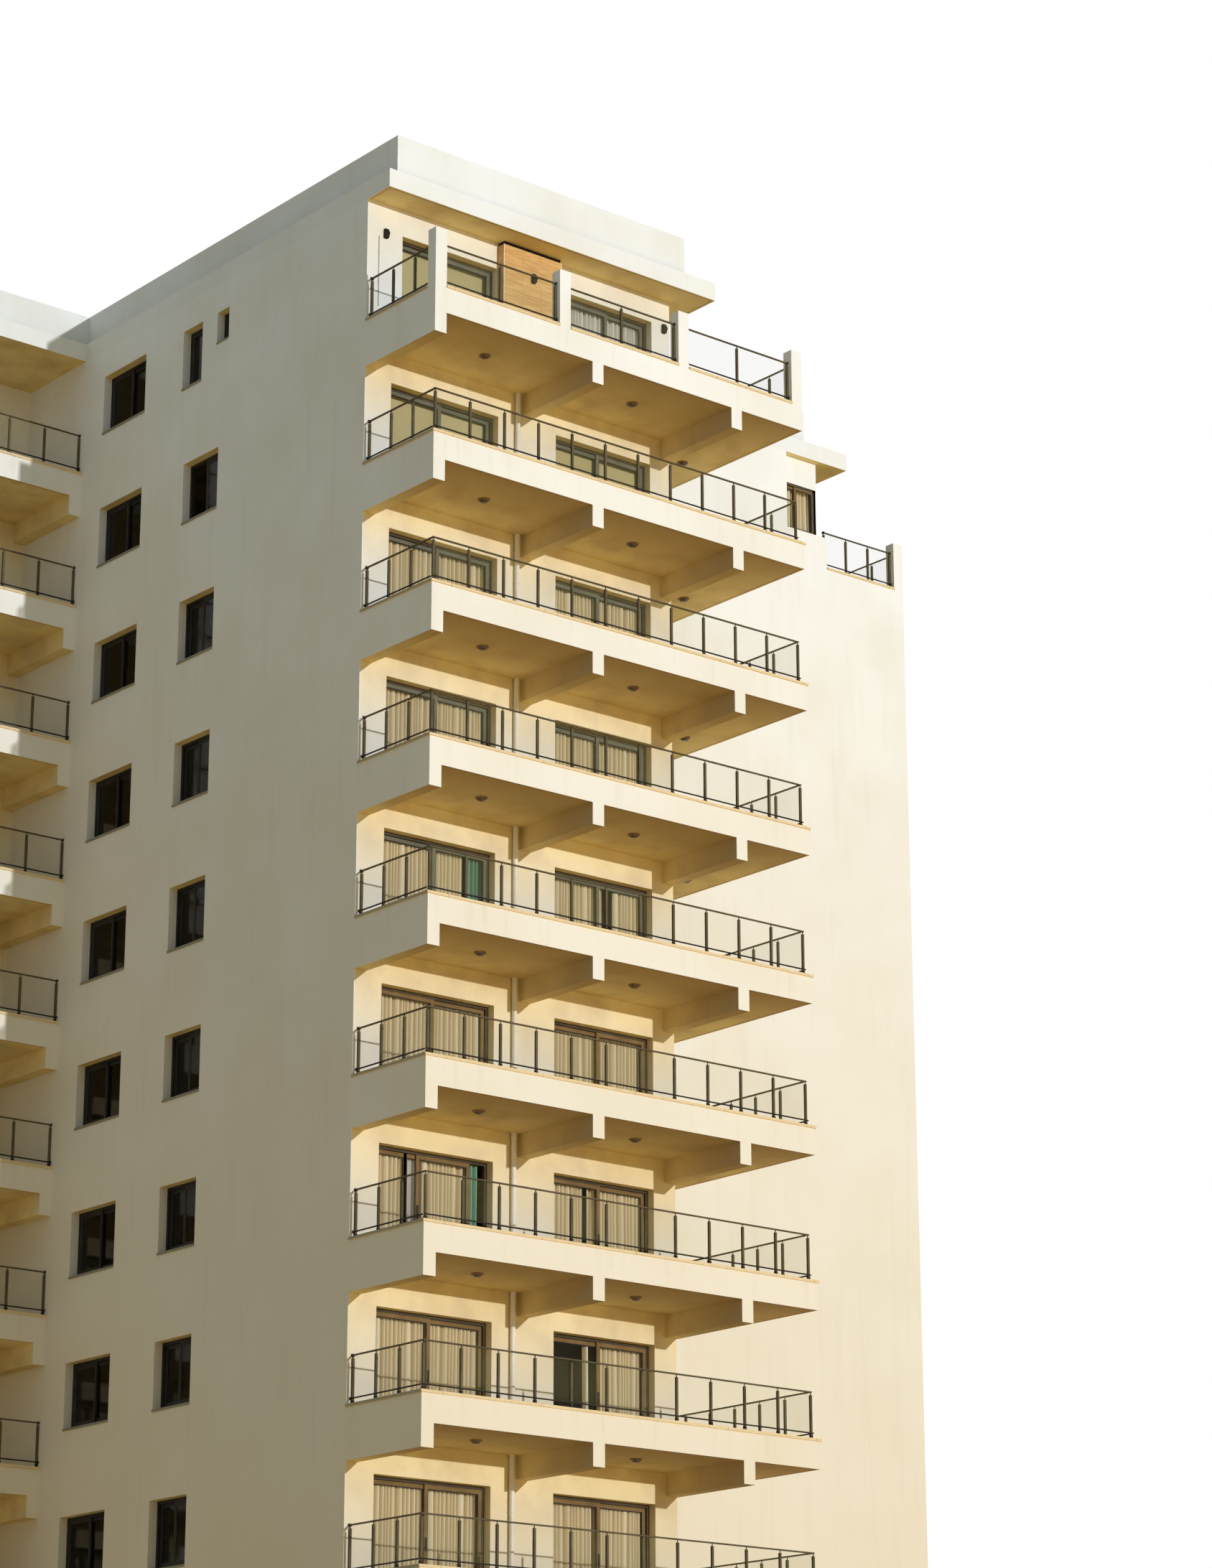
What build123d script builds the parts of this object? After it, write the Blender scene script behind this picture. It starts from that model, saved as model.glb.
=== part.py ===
# Twelve-storey apartment block with a stack of glazed balconies.
# Sizes are in millimetres, +Z is up and the street side looks to -Y.
# The origin is the middle of the whole block at ground level.

import os

from build123d import *

os.makedirs("parts", exist_ok=True)

# Storeys
storey_height = 3000
upper_storeys = 11
ground_floor_top = 300
floor_thick = 200
wall_thick = 250

# Plan of the block
front_width = 7720
step_depth = 4400
block_width = 18500
block_depth = 16800
wing_width = 4400
wing_depth = 4400

# Balconies
balcony_depth = 2220
balcony_width = 9360
beam_width = 275
beam_drop = 430
middle_beam_start = 3848
upstand_thick = 240
upstand_height = 320
coping_thick = 50
stone_overhang = 25

# Railings
rail_height = 904
top_rail_width = 64
top_rail_thick = 35
bottom_rail_section = 25
bottom_rail_gap = 95
post_width = 44
glass_thick = 10
front_panes = 11
left_panes = 3
right_panes = 9
wing_front_panes = 5
terrace_front_panes = 3
terrace_side_panes = 16
penthouse_bay_panes = 2

# Doors to the balconies
door_head = 2200
left_door = (630, 3260)
right_door = (4720, 7180)
wing_door = (900, 3500)

# Windows of the left, right and rear walls, measured from the floor
sill_height = 1020
window_head = 2310
sill_thick = 40
left_window = (5000, 6250)
second_window = (7800, 9400)
rear_windows = ((-3100, -1500), (1600, 3200), (11400, 13000))
entrance = (6400, 8200)

# Penthouse storey
penthouse_left_door = (850, 3220)
penthouse_right_door = (5100, 7240)
penthouse_door_head = 2380
penthouse_window = (5700, 6400)
slot_window = (4740, 5170)
slot_window_sill = 1610
penthouse_width = 16000
corner_window_start = 14950
corner_apron_end = 16140
corner_apron_height = 1120
corner_recess = 170
corner_head = 2290
terrace_door_end = 6000
pier_width = 270
pier_bays = 3
pier_height = 1520
cladding = (3220, 4700)
cladding_depth = 200

# Roof
roof_clear_height = 2940
roof_thick = 390
roof_front_overhang = 700
roof_side_overhang = 660
roof_end = 16800
parapet_height = 890
parapet_thick = 200
parapet_setback = 330
front_parapet_setback = 200
wing_parapet_setback = 470

# Pipes and lamps
pipe_radius = 55
pipe_centre = (3705, 60)
bracket_width = 90
bracket_height = 50
bracket_level = 1400
lamp_radius = 130
round_sides = 16
lamp_drop = 70
wing_lamp = (8580, 610)
wall_lamp_radius = 50
wall_lamp_height = 200
wall_lamp_level = 2200
wall_lamp_arm = 70
wall_lamps_at = (430, 7550)

# Lines of the plan, all from the sizes above
left = -(wing_width + block_width) / 2 + wing_width
front = -(balcony_depth + block_depth) / 2 + balcony_depth
step = left + front_width
setback = front + step_depth
right = left + block_width
rear = front + block_depth
wing_left = left - wing_width
wing_front = rear - wing_depth
balcony_front = front - balcony_depth
balcony_right = left + balcony_width
wing_balcony_front = wing_front - balcony_depth
penthouse_right = left + penthouse_width
corner_start = left + corner_window_start

# Levels, all from the sizes above
storeys = upper_storeys + 1
floor_tops = [ground_floor_top + storey_height * level for level in range(storeys)]
balcony_tops = floor_tops[1:]
lower_balcony_tops = floor_tops[1:-1]
penthouse_floor = floor_tops[-1]
below_penthouse = floor_tops[-2]
roof_bottom = penthouse_floor + roof_clear_height
roof_top = roof_bottom + roof_thick
terrace_wall_top = penthouse_floor + upstand_height + coping_thick
coping_rise = upstand_height + coping_thick


def plan(left_line, right_line, front_line, back_line):
    """Adds the plan rectangle between four lines to the open sketch."""
    with Locations(((left_line + right_line) / 2, (front_line + back_line) / 2)):
        Rectangle(right_line - left_line, back_line - front_line)


def levels(heights, rise=0):
    """Gives one level plane for each height, raised by the same amount."""
    return [Plane.XY.offset(height + rise) for height in heights]


def at_left(pair):
    """Turns two distances from the left wall face into plan lines."""
    return left + pair[0], left + pair[1]


def behind_front(pair):
    """Turns two distances behind the front wall face into plan lines."""
    return front + pair[0], front + pair[1]


door_columns = [at_left(left_door), at_left(right_door)]
penthouse_doors = [at_left(penthouse_left_door), at_left(penthouse_right_door)]
window_columns = [behind_front(left_window), behind_front(second_window)]
rear_columns = [at_left(pair) for pair in rear_windows]
entrance_column = at_left(entrance)
rear_piers = sorted(rear_columns + [entrance_column])
left_inner = left + wall_thick
front_inner = front + wall_thick
step_inner = step - wall_thick
setback_inner = setback + wall_thick
right_inner = right - wall_thick
rear_inner = rear - wall_thick
wing_left_inner = wing_left + wall_thick
wing_front_inner = wing_front + wall_thick
last_door_head = below_penthouse + door_head
last_window_head = below_penthouse + window_head
penthouse_sill = penthouse_floor + sill_height - sill_thick
penthouse_window_head = penthouse_floor + window_head
spandrel_height = storey_height - window_head + sill_height - sill_thick


# Floors of the three parts of the block, with the ground slab under them
floor_plans = {
    "front_floors": (left_inner, step_inner, front_inner, setback_inner),
    "main_floors": (left_inner, right_inner, setback_inner, rear_inner),
    "wing_floors": (wing_left_inner, left_inner, wing_front_inner, rear_inner),
}

with BuildPart() as front_floors:
    with BuildSketch(Plane.XY):
        plan(*floor_plans["front_floors"])
    extrude(amount=ground_floor_top)
    with BuildSketch(*levels(balcony_tops, -floor_thick)):
        plan(*floor_plans["front_floors"])
    extrude(amount=floor_thick)

with BuildPart() as main_floors:
    with BuildSketch(Plane.XY):
        plan(*floor_plans["main_floors"])
    extrude(amount=ground_floor_top)
    with BuildSketch(*levels(balcony_tops, -floor_thick)):
        plan(*floor_plans["main_floors"])
    extrude(amount=floor_thick)

with BuildPart() as wing_floors:
    with BuildSketch(Plane.XY):
        plan(*floor_plans["wing_floors"])
    extrude(amount=ground_floor_top)
    with BuildSketch(*levels(balcony_tops, -floor_thick)):
        plan(*floor_plans["wing_floors"])
    extrude(amount=floor_thick)

# Front wall: piers beside the doors, then thresholds, lintels and the band
with BuildPart() as front_wall:
    with BuildSketch(Plane.XY):
        plan(left, door_columns[0][0], front, front_inner)
        plan(door_columns[0][1], door_columns[1][0], front, front_inner)
        plan(door_columns[1][1], step, front, front_inner)
    extrude(amount=last_door_head)
    with BuildSketch(Plane.XY.offset(penthouse_floor)):
        plan(left, penthouse_doors[0][0], front, front_inner)
        plan(penthouse_doors[0][1], penthouse_doors[1][0], front, front_inner)
        plan(penthouse_doors[1][1], step, front, front_inner)
    extrude(amount=roof_clear_height)

with BuildPart() as front_lintels:
    with BuildSketch(Plane.XY):
        for column in door_columns:
            plan(*column, front, front_inner)
    extrude(amount=ground_floor_top)
    with BuildSketch(*levels(floor_tops[:-2], door_head)):
        for column in door_columns:
            plan(*column, front, front_inner)
    extrude(amount=storey_height - door_head)
    with BuildSketch(Plane.XY.offset(last_door_head)):
        plan(left, step, front, front_inner)
    extrude(amount=storey_height - door_head)
    with BuildSketch(Plane.XY.offset(penthouse_floor + penthouse_door_head)):
        for column in penthouse_doors:
            plan(*column, front, front_inner)
    extrude(amount=roof_clear_height - penthouse_door_head)

# Left wall: piers beside the two columns of windows, then the spandrels
with BuildPart() as left_wall:
    with BuildSketch(Plane.XY):
        plan(left, left_inner, front_inner, window_columns[0][0])
        plan(left, left_inner, window_columns[0][1], window_columns[1][0])
        plan(left, left_inner, window_columns[1][1], wing_front_inner)
    extrude(amount=last_window_head)
    with BuildSketch(Plane.XY.offset(penthouse_sill)):
        plan(left, left_inner, front_inner, front + penthouse_window[0])
        plan(left, left_inner, front + penthouse_window[1], window_columns[1][0])
        plan(left, left_inner, window_columns[1][1], wing_front_inner)
    extrude(amount=roof_bottom - penthouse_sill)
    with BuildSketch(Plane.XY.offset(penthouse_floor + slot_window_sill)):
        plan(left, left_inner, *behind_front(slot_window))
    extrude(amount=window_head - slot_window_sill, mode=Mode.SUBTRACT)

with BuildPart() as left_spandrels:
    with BuildSketch(Plane.XY):
        for column in window_columns:
            plan(left, left_inner, *column)
    extrude(amount=ground_floor_top + sill_height - sill_thick)
    with BuildSketch(*levels(floor_tops[:-2], window_head)):
        for column in window_columns:
            plan(left, left_inner, *column)
    extrude(amount=spandrel_height)
    with BuildSketch(Plane.XY.offset(last_window_head)):
        plan(left, left_inner, front_inner, wing_front_inner)
    extrude(amount=penthouse_sill - last_window_head)
    with BuildSketch(Plane.XY.offset(penthouse_window_head)):
        plan(left, left_inner, *behind_front(penthouse_window))
        plan(left, left_inner, *window_columns[1])
    extrude(amount=roof_bottom - penthouse_window_head)

# Walls that return from the front block to the wide block behind it
with BuildPart() as step_wall:
    with BuildSketch(Plane.XY):
        plan(step_inner, step, front_inner, setback_inner)
    extrude(amount=roof_bottom)

with BuildPart() as setback_wall:
    with BuildSketch(Plane.XY):
        plan(step, corner_start, setback, setback_inner)
    extrude(amount=roof_bottom)

# Walls at the right end stop at the terrace of the penthouse storey
with BuildPart() as terrace_walls:
    with BuildSketch(Plane.XY):
        plan(corner_start, right_inner, setback, setback_inner)
        plan(penthouse_right, right_inner, rear_inner, rear)
    extrude(amount=terrace_wall_top)

with BuildPart() as right_wall:
    with BuildSketch(Plane.XY):
        plan(right_inner, right, setback, window_columns[0][0] + step_depth)
        plan(right_inner, right, window_columns[0][1] + step_depth, window_columns[1][0] + step_depth)
        plan(right_inner, right, window_columns[1][1] + step_depth, rear)
    extrude(amount=terrace_wall_top)

with BuildPart() as right_spandrels:
    with BuildSketch(Plane.XY):
        for column in window_columns:
            plan(right_inner, right, column[0] + step_depth, column[1] + step_depth)
    extrude(amount=ground_floor_top + sill_height - sill_thick)
    with BuildSketch(*levels(floor_tops[:-2], window_head)):
        for column in window_columns:
            plan(right_inner, right, column[0] + step_depth, column[1] + step_depth)
    extrude(amount=spandrel_height)
    with BuildSketch(Plane.XY.offset(last_window_head)):
        for column in window_columns:
            plan(right_inner, right, column[0] + step_depth, column[1] + step_depth)
    extrude(amount=terrace_wall_top - last_window_head)

# Rear wall: piers beside four columns, one of them with the entrance below
with BuildPart() as rear_wall:
    with BuildSketch(Plane.XY):
        edges = [wing_left] + [line for pair in rear_piers for line in pair] + [penthouse_right]
        for start, end in zip(edges[::2], edges[1::2]):
            plan(start, end, rear_inner, rear)
    extrude(amount=last_window_head)
    with BuildSketch(Plane.XY.offset(penthouse_sill)):
        for start, end in zip(edges[::2], edges[1::2]):
            plan(start, end, rear_inner, rear)
    extrude(amount=roof_bottom - penthouse_sill)

with BuildPart() as rear_spandrels:
    with BuildSketch(Plane.XY):
        for column in rear_columns:
            plan(*column, rear_inner, rear)
    extrude(amount=ground_floor_top + sill_height - sill_thick)
    with BuildSketch(Plane.XY):
        plan(*entrance_column, rear_inner, rear)
    extrude(amount=ground_floor_top)
    with BuildSketch(*levels(floor_tops[:-2], window_head)):
        for column in rear_piers:
            plan(*column, rear_inner, rear)
    extrude(amount=spandrel_height)
    with BuildSketch(Plane.XY.offset(last_window_head)):
        plan(wing_left, penthouse_right, rear_inner, rear)
    extrude(amount=penthouse_sill - last_window_head)
    with BuildSketch(Plane.XY.offset(penthouse_window_head)):
        for column in rear_piers:
            plan(*column, rear_inner, rear)
    extrude(amount=roof_bottom - penthouse_window_head)

# Rear wing on the left, with one wide door a storey to its own balcony
wing_door_column = (wing_left + wing_door[0], wing_left + wing_door[1])
wing_door_levels = levels(floor_tops[:-1], door_head)

with BuildPart() as wing_front_wall:
    with BuildSketch(Plane.XY):
        plan(wing_left, wing_door_column[0], wing_front, wing_front_inner)
        plan(wing_door_column[1], left, wing_front, wing_front_inner)
    extrude(amount=roof_bottom)

with BuildPart() as wing_lintels:
    with BuildSketch(Plane.XY):
        plan(*wing_door_column, wing_front, wing_front_inner)
    extrude(amount=ground_floor_top)
    with BuildSketch(*wing_door_levels):
        plan(*wing_door_column, wing_front, wing_front_inner)
    extrude(amount=storey_height - door_head)
    with BuildSketch(Plane.XY.offset(penthouse_floor + door_head)):
        plan(*wing_door_column, wing_front, wing_front_inner)
    extrude(amount=roof_clear_height - door_head)

with BuildPart() as wing_side_wall:
    with BuildSketch(Plane.XY):
        plan(wing_left, wing_left_inner, wing_front_inner, rear_inner)
    extrude(amount=roof_bottom)

# Penthouse walls beside the terrace, round the corner window
with BuildPart() as penthouse_wall:
    with BuildSketch(Plane.XY.offset(penthouse_floor)):
        plan(penthouse_right - wall_thick, penthouse_right, front + terrace_door_end, rear_inner)
    extrude(amount=roof_clear_height)

with BuildPart() as corner_apron:
    with BuildSketch(Plane.XY.offset(terrace_wall_top)):
        plan(corner_start, left + corner_apron_end, setback, setback_inner)
    extrude(amount=penthouse_floor + corner_apron_height - terrace_wall_top)

with BuildPart() as corner_lintel:
    with BuildSketch(Plane.XY.offset(penthouse_floor + corner_head)):
        plan(
            corner_start,
            penthouse_right - wall_thick,
            setback + corner_recess,
            setback_inner + corner_recess,
        )
    extrude(amount=roof_clear_height - corner_head)

with BuildPart() as terrace_door_lintel:
    with BuildSketch(Plane.XY.offset(penthouse_floor + corner_head)):
        plan(
            penthouse_right - wall_thick,
            penthouse_right,
            setback + corner_recess,
            front + terrace_door_end,
        )
    extrude(amount=roof_clear_height - corner_head)

# Balcony slabs with the beams that carry them and the upstands round them
beam_starts = [left, left + middle_beam_start, step - beam_width]

with BuildPart() as balcony_slabs:
    with BuildSketch(*levels(balcony_tops, -floor_thick)):
        plan(left, balcony_right, balcony_front, front)
        plan(wing_left, left, wing_balcony_front, wing_front)
    extrude(amount=floor_thick)

with BuildPart() as side_slabs:
    with BuildSketch(*levels(balcony_tops, -floor_thick)):
        plan(step, balcony_right, front, setback)
    extrude(amount=floor_thick)

with BuildPart() as balcony_beams:
    with BuildSketch(*levels(balcony_tops, -floor_thick - beam_drop)):
        for start in beam_starts:
            plan(start, start + beam_width, balcony_front, front)
        plan(wing_left, wing_left + beam_width, wing_balcony_front, wing_front)
        plan(left - beam_width, left, wing_balcony_front, wing_front)
    extrude(amount=beam_drop)

with BuildPart() as front_upstands:
    with BuildSketch(*levels(balcony_tops)):
        plan(left, balcony_right, balcony_front, balcony_front + upstand_thick)
        plan(wing_left, left, wing_balcony_front, wing_balcony_front + upstand_thick)
    extrude(amount=upstand_height)

with BuildPart() as side_upstands:
    with BuildSketch(*levels(balcony_tops)):
        plan(left, left + upstand_thick, balcony_front + upstand_thick, front)
        plan(balcony_right - upstand_thick, balcony_right, balcony_front + upstand_thick, setback)
        plan(wing_left, wing_left + upstand_thick, wing_balcony_front + upstand_thick, wing_front)
    extrude(amount=upstand_height)

# Piers that divide the penthouse railing, and one at the end of the terrace
pier_spacing = (balcony_width - pier_width) / pier_bays
pier_starts = [left + pier_spacing * index for index in range(pier_bays + 1)]

with BuildPart() as penthouse_piers:
    with BuildSketch(Plane.XY.offset(penthouse_floor + upstand_height)):
        for start in pier_starts:
            plan(start, start + pier_width, balcony_front, balcony_front + upstand_thick)
    extrude(amount=pier_height - upstand_height)
    with BuildSketch(Plane.XY.offset(terrace_wall_top)):
        plan(right - pier_width, right, setback, setback_inner)
    extrude(amount=penthouse_floor + pier_height - terrace_wall_top)

# Stone copings on the upstands, cut short beside the penthouse piers
coping_front = balcony_front - stone_overhang
coping_back = balcony_front + upstand_thick + stone_overhang
wing_coping_front = wing_balcony_front - stone_overhang
wing_coping_back = wing_balcony_front + upstand_thick + stone_overhang
terrace_coping_back = setback_inner + stone_overhang

with BuildPart() as front_copings:
    with BuildSketch(*levels(lower_balcony_tops, upstand_height)):
        plan(left - stone_overhang, balcony_right + stone_overhang, coping_front, coping_back)
    with BuildSketch(*levels(balcony_tops, upstand_height)):
        plan(wing_left - stone_overhang, left, wing_coping_front, wing_coping_back)
    with BuildSketch(Plane.XY.offset(penthouse_floor + upstand_height)):
        for start, end in zip(pier_starts, pier_starts[1:]):
            plan(start + pier_width, end, coping_front, coping_back)
    with BuildSketch(Plane.XY.offset(terrace_wall_top)):
        plan(left + corner_apron_end, right - pier_width, setback - stone_overhang, terrace_coping_back)
        plan(
            penthouse_right,
            right_inner - stone_overhang,
            rear_inner - stone_overhang,
            rear + stone_overhang,
        )
    extrude(amount=coping_thick)

with BuildPart() as side_copings:
    with BuildSketch(*levels(balcony_tops, upstand_height)):
        plan(left - stone_overhang, left + upstand_thick + stone_overhang, coping_back, front)
        plan(
            balcony_right - upstand_thick - stone_overhang,
            balcony_right + stone_overhang,
            coping_back,
            setback,
        )
        plan(
            wing_left - stone_overhang,
            wing_left + upstand_thick + stone_overhang,
            wing_coping_back,
            wing_front,
        )
    with BuildSketch(Plane.XY.offset(terrace_wall_top)):
        plan(
            right_inner - stone_overhang,
            right + stone_overhang,
            terrace_coping_back,
            rear + stone_overhang,
        )
    extrude(amount=coping_thick)

# Railings stand on the copings: posts in equal steps carry a top rail, a low
# rail along their outer side and sheets of glass along their inner side
post_half = post_width / 2
rail_half = top_rail_width / 2
top_rail_bottom = rail_height - top_rail_thick
glass_bottom = bottom_rail_gap + bottom_rail_section
rail_line = balcony_front + upstand_thick / 2
left_rail_line = left + upstand_thick / 2
right_rail_line = balcony_right - upstand_thick / 2
wing_rail_line = wing_balcony_front + upstand_thick / 2
wing_side_line = wing_left + upstand_thick / 2
terrace_rail_line = setback + wall_thick / 2
terrace_side_line = right - wall_thick / 2
terrace_rear_line = rear - wall_thick / 2
terrace_start = left + corner_apron_end
terrace_end = right - pier_width
behind_pier = balcony_front + upstand_thick
lower_bases = [top + coping_rise for top in lower_balcony_tops]
wing_bases = [top + coping_rise for top in balcony_tops]
penthouse_base = [penthouse_floor + coping_rise]
terrace_base = [terrace_wall_top + coping_thick]


def evenly(start, end, gaps):
    """Gives both ends and the equal steps between them."""
    return [start + (end - start) * index / gaps for index in range(gaps + 1)]


def across(line, inner, near, far):
    """Gives two lines beside a railing's own, with inner as the sign of its inner side."""
    return sorted((line + inner * near, line + inner * far))


# Each run has its levels, its line, its posts, where its rails start and end,
# and the sign of its inner side; these runs go along the street
front_post_places = evenly(left_rail_line, right_rail_line, front_panes)
wing_front_post_places = evenly(wing_side_line, left - post_half, wing_front_panes)
terrace_front_post_places = evenly(terrace_start + post_half, terrace_end - post_half, terrace_front_panes)
terrace_rear_post_places = evenly(penthouse_right + post_half, terrace_side_line, terrace_front_panes)
front_runs = [
    (lower_bases, rail_line, front_post_places, left_rail_line - rail_half, right_rail_line + rail_half, 1),
    (wing_bases, wing_rail_line, wing_front_post_places, wing_side_line - rail_half, left, 1),
    (terrace_base, terrace_rail_line, terrace_front_post_places, terrace_start, terrace_end, 1),
    (
        terrace_base,
        terrace_rear_line,
        terrace_rear_post_places,
        penthouse_right,
        terrace_side_line + rail_half,
        -1,
    ),
]
for start, end in zip(pier_starts, pier_starts[1:]):
    bay_start = start + pier_width
    bay_post_places = evenly(bay_start + post_half, end - post_half, penthouse_bay_panes)
    front_runs.append((penthouse_base, rail_line, bay_post_places, bay_start, end, 1))

# These runs go along the sides, and their corner posts belong to the runs above
left_post_places = evenly(rail_line, front - post_half, left_panes)[1:]
right_post_places = evenly(rail_line, setback - post_half, right_panes)[1:]
wing_side_post_places = evenly(wing_rail_line, wing_front - post_half, left_panes)[1:]
terrace_side_post_places = evenly(terrace_rail_line, terrace_rear_line, terrace_side_panes)[1:-1]
side_runs = [
    (lower_bases, left_rail_line, left_post_places, rail_line + rail_half, front, 1),
    (lower_bases, right_rail_line, right_post_places, rail_line + rail_half, setback, -1),
    (penthouse_base, left_rail_line, left_post_places, behind_pier, front, 1),
    (penthouse_base, right_rail_line, right_post_places, behind_pier, setback, -1),
    (wing_bases, wing_side_line, wing_side_post_places, wing_rail_line + rail_half, wing_front, 1),
    (
        terrace_base,
        terrace_side_line,
        terrace_side_post_places,
        setback_inner,
        terrace_rear_line - rail_half,
        -1,
    ),
]

with BuildPart() as front_posts:
    for bases, line, posts, start, end, inner in front_runs:
        with BuildSketch(*levels(bases)):
            with Locations(*[(post, line) for post in posts]):
                Rectangle(post_width, post_width)
    extrude(amount=top_rail_bottom)

with BuildPart() as side_posts:
    for bases, line, posts, start, end, inner in side_runs:
        with BuildSketch(*levels(bases)):
            with Locations(*[(line, post) for post in posts]):
                Rectangle(post_width, post_width)
    extrude(amount=top_rail_bottom)

with BuildPart() as front_rails:
    for bases, line, posts, start, end, inner in front_runs:
        with BuildSketch(*levels(bases, top_rail_bottom)):
            plan(start, end, line - rail_half, line + rail_half)
    extrude(amount=top_rail_thick)
    for bases, line, posts, start, end, inner in front_runs:
        with BuildSketch(*levels(bases, bottom_rail_gap)):
            plan(start, end, *across(line, inner, -post_half - bottom_rail_section, -post_half))
    extrude(amount=bottom_rail_section)

with BuildPart() as side_rails:
    for bases, line, posts, start, end, inner in side_runs:
        with BuildSketch(*levels(bases, top_rail_bottom)):
            plan(line - rail_half, line + rail_half, start, end)
    extrude(amount=top_rail_thick)
    for bases, line, posts, start, end, inner in side_runs:
        with BuildSketch(*levels(bases, bottom_rail_gap)):
            plan(*across(line, inner, -post_half - bottom_rail_section, -post_half), start, end)
    extrude(amount=bottom_rail_section)

with BuildPart() as front_glass:
    for bases, line, posts, start, end, inner in front_runs:
        with BuildSketch(*levels(bases, glass_bottom)):
            plan(start, end, *across(line, inner, post_half, post_half + glass_thick))
    extrude(amount=top_rail_bottom - glass_bottom)

with BuildPart() as side_glass:
    for bases, line, posts, start, end, inner in side_runs:
        with BuildSketch(*levels(bases, glass_bottom)):
            plan(*across(line, inner, post_half, post_half + glass_thick), start, end)
    extrude(amount=top_rail_bottom - glass_bottom)

# Stone sills under the windows of the left, right and rear walls
with BuildPart() as window_sills:
    with BuildSketch(*levels(floor_tops, sill_height - sill_thick)):
        plan(left - stone_overhang, left_inner, *window_columns[1])
        for column in rear_columns:
            plan(*column, rear_inner, rear + stone_overhang)
    with BuildSketch(*levels(floor_tops[:-1], sill_height - sill_thick)):
        plan(left - stone_overhang, left_inner, *window_columns[0])
        for column in window_columns:
            plan(right_inner, right + stone_overhang, column[0] + step_depth, column[1] + step_depth)
    with BuildSketch(*levels(balcony_tops, sill_height - sill_thick)):
        plan(*entrance_column, rear_inner, rear + stone_overhang)
    with BuildSketch(Plane.XY.offset(penthouse_sill)):
        plan(left - stone_overhang, left_inner, *behind_front(penthouse_window))
    extrude(amount=sill_thick)

# Roof slabs, and the parapets that stand back from their edges
with BuildPart() as front_roof:
    with BuildSketch(Plane.XY.offset(roof_bottom)):
        plan(left, step + roof_side_overhang, front - roof_front_overhang, setback)
    extrude(amount=roof_thick)

with BuildPart() as main_roof:
    with BuildSketch(Plane.XY.offset(roof_bottom)):
        plan(left, left + roof_end, setback, rear)
    extrude(amount=roof_thick)

with BuildPart() as wing_roof:
    with BuildSketch(Plane.XY.offset(roof_bottom)):
        plan(wing_left, left, wing_balcony_front, rear)
    extrude(amount=roof_thick)

parapet_left = left + parapet_setback
parapet_step = step
parapet_right = penthouse_right - parapet_thick
parapet_rear = rear - parapet_setback
parapet_front = front - roof_front_overhang + front_parapet_setback
parapet_middle = setback + parapet_setback
parapet_wing_front = wing_balcony_front + wing_parapet_setback
parapet_wing_left = wing_left + parapet_setback

with BuildPart() as cross_parapets:
    with BuildSketch(Plane.XY.offset(roof_top)):
        plan(parapet_left, parapet_step, parapet_front, parapet_front + parapet_thick)
        plan(parapet_step, parapet_right, parapet_middle, parapet_middle + parapet_thick)
        plan(parapet_wing_left, parapet_right, parapet_rear - parapet_thick, parapet_rear)
        plan(
            parapet_wing_left,
            parapet_left,
            parapet_wing_front,
            parapet_wing_front + parapet_thick,
        )
    extrude(amount=parapet_height)

with BuildPart() as side_parapets:
    with BuildSketch(Plane.XY.offset(roof_top)):
        plan(
            parapet_left,
            parapet_left + parapet_thick,
            parapet_front + parapet_thick,
            parapet_wing_front + parapet_thick,
        )
        plan(
            parapet_step - parapet_thick,
            parapet_step,
            parapet_front + parapet_thick,
            parapet_middle + parapet_thick,
        )
        plan(
            parapet_right - parapet_thick,
            parapet_right,
            parapet_middle + parapet_thick,
            parapet_rear - parapet_thick,
        )
        plan(
            parapet_wing_left,
            parapet_wing_left + parapet_thick,
            parapet_wing_front + parapet_thick,
            parapet_rear - parapet_thick,
        )
    extrude(amount=parapet_height)

# Rain pipe in each storey, held to the wall by a bracket
pipe_x = left + pipe_centre[0]
pipe_y = front - pipe_centre[1]

with BuildPart() as downpipes:
    with BuildSketch(Plane.XY):
        with Locations((pipe_x, pipe_y)):
            RegularPolygon(pipe_radius, round_sides)
    extrude(amount=balcony_tops[0] - floor_thick)
    with BuildSketch(*levels(lower_balcony_tops)):
        with Locations((pipe_x, pipe_y)):
            RegularPolygon(pipe_radius, round_sides)
    extrude(amount=storey_height - floor_thick)
    with BuildSketch(*levels(floor_tops[:-1], bracket_level)):
        plan(pipe_x - bracket_width / 2, pipe_x + bracket_width / 2, pipe_y, front)
    extrude(amount=bracket_height)

# Round lamps under the balconies, in the middle of each bay and at the step
first_bay = (beam_starts[0] + beam_width + beam_starts[1]) / 2
second_bay = (beam_starts[1] + beam_width + beam_starts[2]) / 2
lamp_places = [
    (first_bay, front - balcony_depth / 2),
    (second_bay, front - balcony_depth / 2),
    (left + wing_lamp[0], front + wing_lamp[1]),
]

with BuildPart() as ceiling_lamps:
    with BuildSketch(*levels(balcony_tops, -floor_thick - lamp_drop)):
        with Locations(*lamp_places):
            RegularPolygon(lamp_radius, round_sides)
    extrude(amount=lamp_drop)

# Timber cladding over the pipe at the penthouse, with the wall lamps
with BuildPart() as timber_cladding:
    with BuildSketch(Plane.XY.offset(penthouse_floor)):
        plan(*at_left(cladding), front - cladding_depth, front)
    extrude(amount=roof_clear_height)

lamp_bottom = penthouse_floor + wall_lamp_level
cladding_middle = left + (cladding[0] + cladding[1]) / 2
wall_lamp_feet = [(left + place, front) for place in wall_lamps_at]
wall_lamp_feet.append((cladding_middle, front - cladding_depth))

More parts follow.
